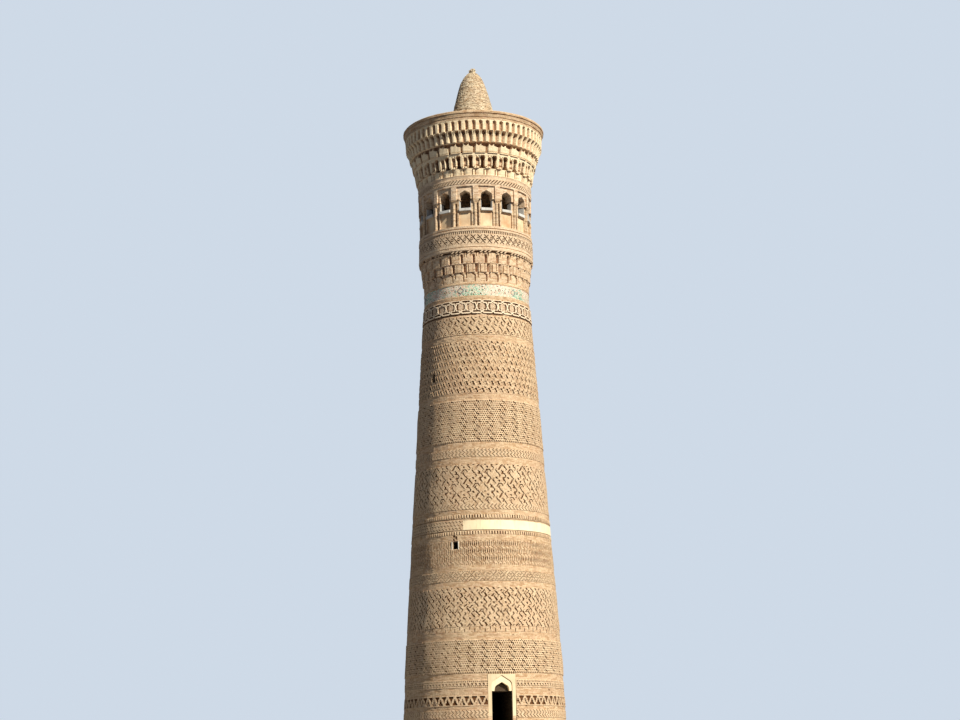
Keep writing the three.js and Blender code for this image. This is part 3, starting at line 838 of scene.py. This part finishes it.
# Steps of a capital: how far each stands out, its foot and head
CAPITAL = [(0.0, 36.00, 36.06), (0.02, 36.06, 36.12), (0.045, 36.12, 36.22), (0.02, 36.22, 36.26)]
CAPITAL_HALF, CAPITAL_RADIUS = 0.12, 3.31


def capital(surface, angle):
    for grow, low, high in CAPITAL:
        half = CAPITAL_HALF + grow
        slab(surface, angle, -half, half, GROOVE_RADIUS - 0.05, CAPITAL_RADIUS + grow, low, high)


def add_piers():
    surface = Surface()

    def one(target, angle):
        prism(target, pier_plan(angle, PANEL_HALF), CURB_TOP, SILL_LOW, PIER_SHADE_DEPTHS)
        prism(target, pier_plan(angle, WINDOW_HALF), SILL_LOW, PIER_TOP, PIER_SHADE_DEPTHS)
        colonnette(target, angle)
        capital(target, angle)

    surface.add_around(BAYS, 0.5, one)
    piece = surface.piece("lantern_piers", "patterned_brick", "lantern_brick")
    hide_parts(*[f"lantern_pier_{number:02d}" for number in range(1, BAYS + 1)])


def add_arcade_head():
    """Arches over the windows, sunk spandrels, upright strips between bays and a rail on top."""
    surface = Surface()
    half = math.degrees(math.asin(WINDOW_HALF / SPANDREL_RADIUS))
    half_strip = math.degrees(GROOVE_RIGHT / FACE_RADIUS)
    line = arch_line(half, SPRING, APEX)

    def arch(target, angle):
        arched(target, angle, line, PIER_TOP, SPANDREL_TOP, SPANDREL_RADIUS, INNER_RADIUS)
        for side in (-1, 1):
            left, right = sorted((angle + side * half, angle + side * 180 / BAYS))
            strip(target, left, right, (SPANDREL_RADIUS, PIER_TOP), (SPANDREL_RADIUS, SPANDREL_TOP))
            strip(target, left, right, (FACE_RADIUS, PIER_TOP), (SPANDREL_RADIUS, PIER_TOP))

    def upright(target, angle):
        strip(target, angle - half_strip, angle + half_strip, (FACE_RADIUS, PIER_TOP),
              (FACE_RADIUS, SPANDREL_TOP))
        for side in (-1, 1):
            cheek(target, angle + side * half_strip, SPANDREL_RADIUS, FACE_RADIUS, PIER_TOP,
                  SPANDREL_TOP, side)

    surface.add_around(BAYS, 0, arch)
    surface.add_around(BAYS, 0.5, upright)
    lathe(surface, [(SPANDREL_RADIUS - 0.03, SPANDREL_TOP), (FACE_RADIUS, SPANDREL_TOP),
                    (FACE_RADIUS, ARCADE_TOP - 0.02), (FACE_RADIUS + 0.015, ARCADE_TOP),
                    (2.9, ARCADE_TOP)])
    piece = surface.piece("lantern_arches", "patterned_brick", "pale_brick")
    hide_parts("lantern_arcade_head")


SILL_RADIUS, LINING_RADIUS = 3.3, 3.22
LINING_TOP = 36.16


def add_parapet():
    """Sunk panels under the windows, a curb ring, white sills and white linings on the jambs."""
    curb = Surface()
    lathe(curb, [(INNER_RADIUS, LANTERN_FOOT), (FACE_RADIUS + 0.02, LANTERN_FOOT),
                 (FACE_RADIUS + 0.02, 34.38), (FACE_RADIUS - 0.06, 34.385), (FACE_RADIUS - 0.06, 34.43),
                 (FACE_RADIUS, 34.435), (FACE_RADIUS, CURB_TOP), (INNER_RADIUS, CURB_TOP)])
    curb.piece("lantern_curb", "patterned_brick", "ring_brick")

    panels = Surface()

    def panel(target, angle):
        slab(target, angle, -PANEL_HALF, PANEL_HALF, INNER_RADIUS, PANEL_RADIUS, CURB_TOP - 0.02, SILL_LOW)
        slab(target, angle, -PANEL_HALF, PANEL_HALF, INNER_RADIUS, JAMB_RADIUS - 0.03, SILL_LOW, SILL_FOOT)

    panels.add_around(BAYS, 0, panel)
    piece = panels.piece("lantern_panels", "lime_plaster", "panel_plaster")
    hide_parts("lantern_parapet")

    sills = Surface()

    def sill(target, angle):
        slab(target, angle, -WINDOW_HALF, WINDOW_HALF, INNER_RADIUS + 0.04, SILL_RADIUS, SILL_FOOT,
             SILL_TOP)
        for side in (-1, 1):
            left, right = sorted((side * (WINDOW_HALF + 0.004), side * (WINDOW_HALF - 0.014)))
            slab(target, angle, left, right, INNER_RADIUS + 0.1, LINING_RADIUS, SILL_TOP, LINING_TOP)

    sills.add_around(BAYS, 0, sill)
    sills.piece("lantern_sills", "lime_plaster", "grey_plaster")


FRIEZE_RADIUS, FRIEZE_CORE = 3.33, 3.0
STROKES_TOP = 37.38


def add_frieze():
    """A flared moulding over a band of fine slanting strokes."""
    surface = Surface()
    ring(surface, ARCADE_TOP, STROKES_TOP, FRIEZE_RADIUS, rope, 0.2, 5, 6, RING_LEVELS, back=-0.3)
    lathe(surface, [(FRIEZE_CORE, STROKES_TOP), (3.375, STROKES_TOP), (3.385, 37.40), (3.35, 37.42),
                    (3.35, 37.46), (3.36, 37.55), (3.39, FRIEZE_TOP - 0.02), (3.39, FRIEZE_TOP),
                    (FRIEZE_CORE, FRIEZE_TOP)])
    piece = surface.piece("lantern_frieze_rings", "patterned_brick", "ring_brick")
    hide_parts("lantern_frieze")


def add_rim():
    surface = Surface()
    lathe(surface, [(3.6, RIM_LOW), (4.13, RIM_LOW), (4.135, 40.92), (4.115, 40.935), (4.115, 40.965),
                    (4.16, 40.98), (4.20, 41.14), (4.17, 41.15), (4.17, 41.19), (4.24, 41.20),
                    (4.245, 41.30), (4.215, ROOF_TOP + 0.012), (4.08, ROOF_TOP + 0.012), (4.07, 41.3)],
          sides=160)
    piece = surface.piece("cornice_rim_rings", "patterned_brick", "baked_brick")
    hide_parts("cornice_rim")


def cap_radius(height):
    radii, heights = zip(*CAP_OUTLINE)
    return np.interp(height, heights, radii)


CAP_ROWS, STUB_ROWS = 66, 4
CAP_LEVELS = np.array([-0.012, -0.004, 0.002, 0.008])
STUB_LEVELS = np.array([-0.08, -0.01, 0.015])
STUB_RADIUS = 0.2


def add_cap():
    """Brick cap in rough courses, each brick set a little in or out, and a broken stub on top."""
    surface = Surface()
    draw = np.random.default_rng(SEED + 5)
    heights = np.linspace(ROOF_TOP, CAP_OUTLINE[-1][1], CAP_ROWS + 1)
    levels = draw.integers(0, len(CAP_LEVELS), (CAP_ROWS, 72))
    relief(surface, heights, levels, cap_radius, CAP_LEVELS, back=-0.2, longest=1)
    piece = surface.piece("cap_courses", "brick", "cap_brick")
    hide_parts("cap")

    stub = Surface()
    levels = np.repeat(draw.integers(1, len(STUB_LEVELS), (STUB_ROWS, 9)), 2, axis=1)
    levels[2:, 12:16] = 0
    heights = np.linspace(CAP_OUTLINE[-1][1], STUB_TOP, STUB_ROWS + 1)
    relief(stub, heights, levels, lambda height: STUB_RADIUS, STUB_LEVELS, back=-0.199)
    piece = stub.piece("cap_stub_courses", "brick", "cap_brick")
    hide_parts("cap_stub")


def add_window_frames():
    """White strips let into the brick beside the lower stair window."""
    surface = Surface()
    for window in STAIR_WINDOWS:
        half, sill = window["width"] / 2, window["sill"]
        head = sill + window["height"]
        face = float(shaft_radius(sill)) + FLUSH
        for side, width in zip((-1, 1), window["strips"]):
            left, right = sorted((side * half, side * (half + width)))
            if width > 0:
                slab(surface, window["angle"], left, right, face - 0.03, face, sill - 0.03, head)
    surface.piece("stair_window_strips", "lime_plaster", "lime_plaster")


def add_plaster_panel():
    surface = Surface()
    left, right, low, high = PLASTER_PANEL
    foot, head = float(shaft_radius(low)), float(shaft_radius(high))
    strip(surface, left, right, (foot + FLUSH, low), (head + FLUSH, high))
    strip(surface, left, right, (foot + INTO_WALL, low), (foot + FLUSH, low))
    strip(surface, left, right, (head + FLUSH, high), (head + INTO_WALL, high))
    surface.piece("plaster_panel", "lime_plaster", "pale_plaster")


PORTAL_HALF = 0.775
PORTAL_TOP = 8.86
PORTAL_ARCH = [(-0.575, 8.25), (-0.56, 8.38), (-0.47, 8.5), (0, 8.8), (0.47, 8.5), (0.56, 8.38),
               (0.575, 8.25)]
NICHE_HALF, NICHE_FOOT, NICHE_APEX = 0.42, 7.95, 8.43
FIELD_TOP = 8.84


def add_portal():
    """Plaster plate round the doorway, flush with the brick, and a white arched field over the door."""
    face = float(shaft_radius(8.3)) + FLUSH + 0.012
    field = face - 0.055
    back = field - 0.1
    niche_back = float(shaft_radius(NICHE_FOOT)) - 0.22
    line = np.array(PORTAL_ARCH).T
    line[0] = np.degrees(line[0] / face)
    edge, door = math.degrees(PORTAL_HALF / face), line[0, -1]
    plate = Surface()
    arched(plate, 0, line, DOOR_FOOT, PORTAL_TOP, face, field - 0.05)
    for left, right in ((-edge, -door), (door, edge)):
        strip(plate, left, right, (face, DOOR_FOOT), (face, PORTAL_TOP))
        strip(plate, left, right, (back, DOOR_FOOT), (face, DOOR_FOOT))
    strip(plate, -edge, edge, (face, PORTAL_TOP), (back, PORTAL_TOP))
    for side in (-1, 1):
        cheek(plate, side * edge, back, face, DOOR_FOOT, PORTAL_TOP, side)
    piece = plate.piece("portal_plaster", "lime_plaster", "portal_plaster", weather=False)
    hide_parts("door_frame")

    inner = Surface()
    small = math.degrees(NICHE_HALF / face)
    arch = arch_line(small, NICHE_FOOT, NICHE_APEX)
    arched(inner, 0, arch, NICHE_FOOT, FIELD_TOP, field, niche_back)
    for left, right in ((-door, -small), (small, door)):
        strip(inner, left, right, (field, NICHE_FOOT), (field, FIELD_TOP))
    strip(inner, -door, door, (niche_back, NICHE_FOOT), (field, NICHE_FOOT))
    inner.piece("portal_field", "lime_plaster", "pale_plaster", weather=False)


class Graph:
    """Short names for the shader nodes of one material, which is kept in `looks` under its name."""

    def __init__(self, name):
        material = looks[name] = bpy.data.materials.new(name)
        material.use_nodes = True
        self.tree = material.node_tree
        self.shader = self.tree.nodes["Principled BSDF"]
        self.place = self.node("TexCoord").outputs["Object"]

    def node(self, kind, inputs=(), **settings):
        made = self.tree.nodes.new("ShaderNode" + kind)
        for key, value in settings.items():
            setattr(made, key, value)
        for key, value in dict(inputs).items():
            self.feed(made.inputs[key], value)
        return made

    def feed(self, socket, value):
        if isinstance(value, bpy.types.NodeSocket):
            self.tree.links.new(value, socket)
        elif value is not None:
            socket.default_value = value

    def math(self, operation, a, b=None, c=None):
        return self.node("Math", {0: a, 1: b, 2: c}, operation=operation).outputs[0]

    def product(self, a, b):
        return self.math("MULTIPLY", a, b)

    def mix(self, factor, a, b, blend="MIX"):
        made = self.node("Mix", {0: factor, 6: a, 7: b}, data_type="RGBA", blend_type=blend)
        return made.outputs[2]

    def span(self, value, low, high, to_low=0.0, to_high=1.0):
        return self.node("MapRange", {0: value, 1: low, 2: high, 3: to_low, 4: to_high}).outputs[0]

    def stain(self, shade, stains):
        """Mixes colours into a shade, each by a value mapped from low..high to the amounts."""
        for value, low, high, amount_low, amount_high, added in stains:
            shade = self.mix(self.span(value, low, high, amount_low, amount_high), shade, added)
        return shade

    def noise(self, scale, detail, roughness, vector=None):
        inputs = {"Vector": vector or self.place, "Scale": scale, "Detail": detail,
                  "Roughness": roughness}
        return self.node("TexNoise", inputs).outputs["Fac"]

    def scaled(self, *scale):
        return self.node("Mapping", {"Vector": self.place, "Scale": scale}).outputs[0]

    def courses(self):
        """Brick coordinates laid on the piece: along the course and up."""
        return self.node("SeparateXYZ", {0: self.node("UVMap", uv_map="courses").outputs[0]}).outputs[:2]

    def pick(self, column, row):
        """A random number for each brick."""
        brick = self.node("CombineXYZ", {0: column, 1: row}).outputs[0]
        return self.node("TexWhiteNoise", {"Vector": brick}, noise_dimensions="2D").outputs["Value"]

    def depth(self):
        return self.node("Attribute", attribute_name="depth").outputs["Fac"]

    def finish(self, shade, roughness, height, distance):
        self.feed(self.shader.inputs["Base Color"], shade)
        self.feed(self.shader.inputs["Roughness"], roughness)
        bump = self.node("Bump", {"Height": height, "Distance": distance})
        self.feed(self.shader.inputs["Normal"], bump.outputs[0])


def colour(code):
    """A linear colour from its usual six-figure code."""
    values = [int(code[i:i + 2], 16) / 255 for i in (0, 2, 4)]
    return [v / 12.92 if v <= 0.04045 else ((v + 0.055) / 1.055) ** 2.4 for v in values] + [1.0]


SAND, PALE, ROSE, UMBER, MORTAR, PAINTED_SHADE = (
    colour(code) for code in ("BF9C77", "F2DCBA", "C1977C", "5C3612", "D6C09E", "2E241B"))
BRICK_LENGTH = 0.26 * MODEL
BRICK_COURSE = COURSE * MODEL
BRICK_JOINT = 0.012 * MODEL


def ring_coordinates(graph):
    """Brick coordinates of a point on a round wall, in whole bricks around at every height."""
    x, y, z = graph.node("SeparateXYZ", {0: graph.place}).outputs
    angle = graph.math("ARCTAN2", x, graph.product(y, -1.0))
    radius = graph.math("SQRT", graph.math("ADD", graph.product(x, x), graph.product(y, y)))
    quarter = graph.math("ROUND", graph.product(radius, math.pi / 2 / BRICK_LENGTH))
    up = graph.math("DIVIDE", z, BRICK_COURSE)
    row = graph.math("FLOOR", up)
    slide = graph.node("TexWhiteNoise", {"W": row}, noise_dimensions="1D").outputs["Value"]
    turn = graph.product(graph.product(angle, 0.5 / math.pi), graph.product(quarter, 4.0))
    return graph.math("ADD", turn, slide), up


def brick_pattern(graph, u, v):
    """Mortar mask and a random number for each brick."""
    across, upward = graph.math("PINGPONG", u, 0.5), graph.math("PINGPONG", v, 0.5)
    beside, above = graph.product(across, BRICK_LENGTH), graph.product(upward, BRICK_COURSE)
    nearest = graph.math("MINIMUM", beside, above)
    mortar = graph.span(nearest, BRICK_JOINT * 0.3, BRICK_JOINT, 1.0, 0.0)
    return mortar, graph.pick(graph.math("FLOOR", u), graph.math("FLOOR", v))


def axis_distance(graph):
    """Distance of a point from the tower's axis."""
    flat = graph.node("VectorMath", {0: graph.place, 1: (1, 1, 0)}, operation="MULTIPLY").outputs[0]
    return graph.node("VectorMath", {0: flat}, operation="LENGTH").outputs["Value"]


def wall_face(graph):
    """Radius just within the shaft's face at the height of a point: wall brick inside it gets painted
    shade.
    """
    height = graph.node("SeparateXYZ", {0: graph.place}).outputs[2]
    foot_slope = (EASING_RADIUS - FOOT_RADIUS) / EASING_HEIGHT
    slope = (SHAFT_TOP_RADIUS - EASING_RADIUS) / (SHAFT_TOP - EASING_HEIGHT)
    upper_foot = EASING_RADIUS - slope * EASING_HEIGHT
    foot = graph.math("MULTIPLY_ADD", height, foot_slope, (FOOT_RADIUS - 0.01) * MODEL)
    upper = graph.math("MULTIPLY_ADD", height, slope, (upper_foot - 0.01) * MODEL)
    return graph.math("MINIMUM", foot, upper)


def lantern_face(graph):
    """Radius just within the lantern's piers: lantern brick inside it gets painted shade."""
    return 3.04 * MODEL


def brick_material(name, coursed=False, recess_shade=0.88, tint=(1, 1, 1), contrast=1.0, proud_highlight=0.0, blush=0.0,
                   painted_shade_within=None):
    """Baked brick: each brick its own tone, mortar joints, dust and stains, with painted shade in recesses
    (darker the deeper a face lies), a painted highlight on proud faces and a rose tint in shallow
    recesses.
    """
    graph = Graph(name)
    mortar, pick = brick_pattern(graph, *(graph.courses() if coursed else ring_coordinates(graph)))
    streaks = graph.noise(2.6, 4.0, 0.6, graph.scaled(2.2, 2.2, 0.22))
    mottling = graph.noise(13.0, 4.0, 0.65)
    grain = graph.noise(28.0, 6.0, 0.7)
    depth = graph.depth()
    shade = graph.stain(SAND, [
        (pick, 0.2, 0.9, 0.0, 0.95, PALE),
        (pick, 0.72, 1.0, 0.0, 0.8 * contrast, ROSE),
        (graph.noise(0.55, 4.0, 0.6), 0.42, 0.72, 0.0, 0.35, ROSE),
        (graph.noise(1.9, 5.0, 0.65), 0.5, 0.8, 0.0, 0.7, PALE),
        (streaks, 0.55, 0.8, 0.0, 0.35, UMBER),
        (mottling, 0.48, 0.68, 0.0, 0.6 * contrast, PALE),
        (grain, 0.3, 0.62, 0.5 * contrast, 0.0, UMBER),
        (mortar, 0.0, 1.0, 0.0, 0.55, MORTAR),
        (depth, 0.4, 0.9, blush, 0.0, ROSE),
        # painted shade: faces turn towards umber the deeper they lie
        (depth, 0.0, 0.7, recess_shade, 0.0, UMBER),
        # painted highlight: proud faces turn towards pale
        (depth, 0.8, 1.0, 0.0, proud_highlight, PALE),
    ])
    # Painted shade: everything inside the given radius darkens towards near black, for the insides of the
    # tower.
    if painted_shade_within:
        inward = graph.math("SUBTRACT", painted_shade_within(graph), axis_distance(graph))
        shade = graph.stain(shade, [(inward, 0.0, 0.08 * MODEL, 0.0, 0.93, PAINTED_SHADE)])
    shade = graph.mix(1.0, shade, (*tint, 1), "MULTIPLY")
    rough = graph.math("ADD", graph.product(grain, 0.6), graph.product(pick, 0.35))
    rough = graph.math("MULTIPLY_ADD", mottling, 1.6, rough)
    height = graph.math("SUBTRACT", rough, graph.product(mortar, 0.8))
    graph.finish(shade, graph.span(grain, 0.2, 0.8, 0.82, 0.98), height, 0.012 * MODEL)
    graph.shader.inputs["Specular IOR Level"].default_value = 0.25


def plaster_material(name, light, dark):
    """Lime plaster with hairline unevenness, stains and worn dusty patches."""
    graph = Graph(name)
    clouds, speckle = graph.noise(2.2, 5.0, 0.6), graph.noise(60.0, 4.0, 0.7)
    streaks = graph.noise(4.0, 4.0, 0.6, graph.scaled(3.0, 3.0, 0.5))
    shade = graph.stain(colour(light), [
        (clouds, 0.35, 0.75, 0.0, 1.0, colour(dark)),
        (streaks, 0.55, 0.8, 0.0, 0.4, UMBER),
        (speckle, 0.6, 0.8, 0.0, 0.35, colour(dark)),
    ])
    height = graph.math("ADD", graph.product(clouds, 0.7), graph.product(speckle, 0.3))
    graph.finish(shade, graph.span(speckle, 0.2, 0.8, 0.7, 0.92), height, 0.004)


# Glazes of the tiles, each with where its share of the tiles begins
GLAZES = [(0.0, "72B397"), (0.20, "A9CFB6"), (0.36, "EADFC9"), (0.57, "E4BFA8"), (0.75, "EFE7D6"),
          (0.93, "B6D2BE")]


def tile_material():
    """Turquoise, mint, white and rose tile with dark inlay, and bare clay where glaze is lost."""
    graph = Graph("glazed_tile")
    u, v = graph.courses()
    u = graph.product(u, 2.0)
    pick = graph.pick(graph.math("FLOOR", u), graph.math("FLOOR", v))
    areas = graph.span(graph.noise(1.3, 2.0, 0.5), 0.3, 0.7, 0.0, 0.45)
    ramp = graph.node("ValToRGB", {0: graph.math("ADD", graph.product(pick, 0.55), areas)})
    ramp.color_ramp.interpolation = "CONSTANT"
    elements = ramp.color_ramp.elements
    while len(elements) < len(GLAZES):
        elements.new(0.5)
    for element, (position, code) in zip(elements, GLAZES):
        element.position = position
        element.color = colour(code)
    depth = graph.depth()
    bare = graph.math("LESS_THAN", depth, 0.45)
    dust = graph.noise(9.0, 5.0, 0.65)
    edges = graph.math("MINIMUM", graph.math("PINGPONG", u, 0.5), graph.math("PINGPONG", v, 0.5))
    grout = graph.span(edges, 0.03, 0.09, 1.0, 0.0)
    shade = graph.mix(graph.math("GREATER_THAN", depth, 0.85), ramp.outputs[0], colour("6A7782"))
    shade = graph.stain(graph.mix(bare, shade, colour("C9A184")), [
        (dust, 0.42, 0.72, 0.0, 0.55, colour("D0B592")),
        (grout, 0.0, 1.0, 0.0, 0.6, colour("B89B78")),
    ])
    matt = graph.math("MAXIMUM", graph.math("MAXIMUM", grout, bare), graph.span(dust, 0.4, 0.7))
    height = graph.math("SUBTRACT", graph.product(pick, 0.3), grout)
    graph.finish(shade, graph.span(matt, 0.0, 1.0, 0.22, 0.85), height, 0.003)


def paving_material():
    """Dusty flat bricks laid on the floors and the roof."""
    graph = Graph("paving")
    inputs = {"Vector": graph.scaled(4.0, 4.0, 4.0), "Color1": colour("BFA47C"),
              "Color2": colour("A88A66"), "Mortar": colour("CDB890"), "Mortar Size": 0.02,
              "Brick Width": 0.5, "Row Height": 0.5}
    bricks, mortar = graph.node("TexBrick", inputs).outputs
    dust = graph.noise(1.6, 5.0, 0.65)
    shade = graph.stain(bricks, [(dust, 0.35, 0.7, 0.1, 0.8, colour("C9B593"))])
    height = graph.math("SUBTRACT", graph.product(dust, 0.4), mortar)
    graph.finish(shade, graph.span(dust, 0.2, 0.8, 0.85, 0.98), height, 0.003)


def floor_material():
    graph = Graph("pale_floor")
    shade = graph.mix(graph.noise(0.4, 3.0, 0.5), (0.25, 0.245, 0.24, 1), (0.29, 0.285, 0.28, 1))
    graph.feed(graph.shader.inputs["Base Color"], shade)
    graph.shader.inputs["Roughness"].default_value = 0.9


def make_materials():
    brick_material("baked_brick", tint=(0.93, 0.88, 0.83), contrast=0.9)
    brick_material("patterned_brick", coursed=True, recess_shade=0.95, tint=(1.01, 0.975, 0.935), proud_highlight=0.15)
    brick_material("pale_patterned", coursed=True, recess_shade=0.8, tint=(1.10, 1.10, 1.14), proud_highlight=0.9)
    brick_material("pale_brick", recess_shade=0.7, contrast=0.8, tint=(1.07, 1.08, 1.13))
    brick_material("ring_brick", recess_shade=0.85, contrast=0.8, tint=(0.97, 0.94, 0.94), proud_highlight=0.3)
    brick_material("muqarnas_brick", recess_shade=0.95, contrast=0.9, tint=(1.08, 1.06, 1.05), blush=0.6)
    brick_material("cornice_brick", recess_shade=0.85, contrast=0.9, tint=(1.17, 1.20, 1.17), proud_highlight=0.5,
                   blush=0.7)
    brick_material("lantern_brick", painted_shade_within=lantern_face)
    brick_material("cap_brick", recess_shade=0.5, tint=(0.97, 1.05, 1.09), contrast=0.7)
    brick_material("wall_brick", recess_shade=0.0, painted_shade_within=wall_face)
    # Painted shade: the vault inside the lantern is darker and browner all over.
    brick_material("vault_brick", recess_shade=0.0, tint=(0.8, 0.7, 0.6))
    plaster_material("lime_plaster", "E9E4D8", "CFC5B2")
    plaster_material("grey_plaster", "CFCCC6", "B2ADA4")
    plaster_material("portal_plaster", "DFCBA8", "CDB690")
    plaster_material("panel_plaster", "E2CBA6", "B98F66")
    plaster_material("pale_plaster", "EFDDB8", "E2CBA2")
    tile_material()
    paving_material()
    floor_material()


def dress_nodes():
    """Materials for the frame's own nodes that stay in view."""
    for name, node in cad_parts.items():
        # The frame's walls get wall brick, which paints shade inside the shaft's face.
        look = "paving" if name in ("entrance_floor", "lantern_floor", "roof") else "wall_brick"
        # Painted shade: the lantern's vault gets the darker vault brick.
        if name == "lantern_vault":
            look = "vault_brick"
        node.data.materials.clear()
        node.data.materials.append(looks[look])


# Camera, at the photograph's viewing angle
CAMERA_DISTANCE = 52.17
CAMERA_ANGLE = -12.4
CAMERA_HEIGHT = 1.648
CAMERA_PITCH = 12.98
CAMERA_YAW = 0.069
CAMERA_ROLL = 1.15
CAMERA_LENS = 68.25


def add_camera():
    data = bpy.data.cameras.new("camera")
    data.lens = CAMERA_LENS
    data.sensor_width = 36
    data.clip_end = 500
    camera = bpy.data.objects.new("camera", data)
    bpy.context.scene.collection.objects.link(camera)
    pose = Matrix.Translation(Vector(polar(CAMERA_DISTANCE, CAMERA_ANGLE, CAMERA_HEIGHT)))
    for turn, axis in ((CAMERA_ANGLE - CAMERA_YAW, "Z"), (90 + CAMERA_PITCH, "X"), (-CAMERA_ROLL, "Z")):
        pose = pose @ Matrix.Rotation(math.radians(turn), 4, axis)
    camera.matrix_world = pose
    bpy.context.scene.camera = camera


SUN_ANGLE = 30.6
SUN_HEIGHT = 36.0
SUN_STRENGTH, SKY_STRENGTH = 6.5, 0.195


def add_light():
    sun = bpy.data.lights.new("key", "SUN")
    sun.energy = SUN_STRENGTH
    sun.color = (1.0, 0.96, 0.86)
    sun.angle = math.radians(0.6)
    lamp = bpy.data.objects.new("key", sun)
    bpy.context.scene.collection.objects.link(lamp)
    height = math.radians(SUN_HEIGHT)
    towards = polar(math.cos(height), SUN_ANGLE, math.sin(height))
    lamp.rotation_euler = Vector(towards).to_track_quat("Z", "Y").to_euler()

    world = bpy.data.worlds.new("studio")
    world.use_nodes = True
    bpy.context.scene.world = world
    nodes, link = world.node_tree.nodes, world.node_tree.links.new
    fill, backdrop = nodes["Background"], nodes.new("ShaderNodeBackground")
    fill.inputs[0].default_value = (0.70, 0.80, 1.0, 1)
    fill.inputs[1].default_value = SKY_STRENGTH
    backdrop.inputs[0].default_value = (0.62, 0.70, 0.80, 1)
    mixer = nodes.new("ShaderNodeMixShader")
    link(nodes.new("ShaderNodeLightPath").outputs["Is Camera Ray"], mixer.inputs[0])
    link(fill.outputs[0], mixer.inputs[1])
    link(backdrop.outputs[0], mixer.inputs[2])
    link(mixer.outputs[0], nodes["World Output"].inputs[0])
    bpy.context.scene.view_settings.view_transform = "Standard"


FLOOR_RADIUS, FLOOR_HEIGHT = 56.0, -0.002


def add_floor():
    edges = np.linspace(0, 360, 65)
    rim = polar(FLOOR_RADIUS, edges, FLOOR_HEIGHT)
    middle = np.broadcast_to([0.0, 0.0, FLOOR_HEIGHT], rim[1:].shape)
    points = np.stack([middle, rim[:-1], rim[1:]], axis=1).reshape(-1, 3) * MODEL
    mesh = bpy.data.meshes.new("floor")
    mesh.from_pydata(points.tolist(), [], [(i, i + 1, i + 2) for i in range(0, len(points), 3)])
    floor = bpy.data.objects.new("floor", mesh)
    bpy.context.scene.collection.objects.link(floor)
    mesh.materials.append(looks["pale_floor"])


def main():
    add_camera()
    add_light()
    make_materials()
    dress_nodes()
    add_belts()
    add_plaster_panel()
    add_window_frames()
    add_portal()
    add_tile_band()
    add_tiers()
    add_drum()
    add_parapet()
    add_piers()
    add_arcade_head()
    add_frieze()
    add_rim()
    add_cap()
    add_floor()


main()
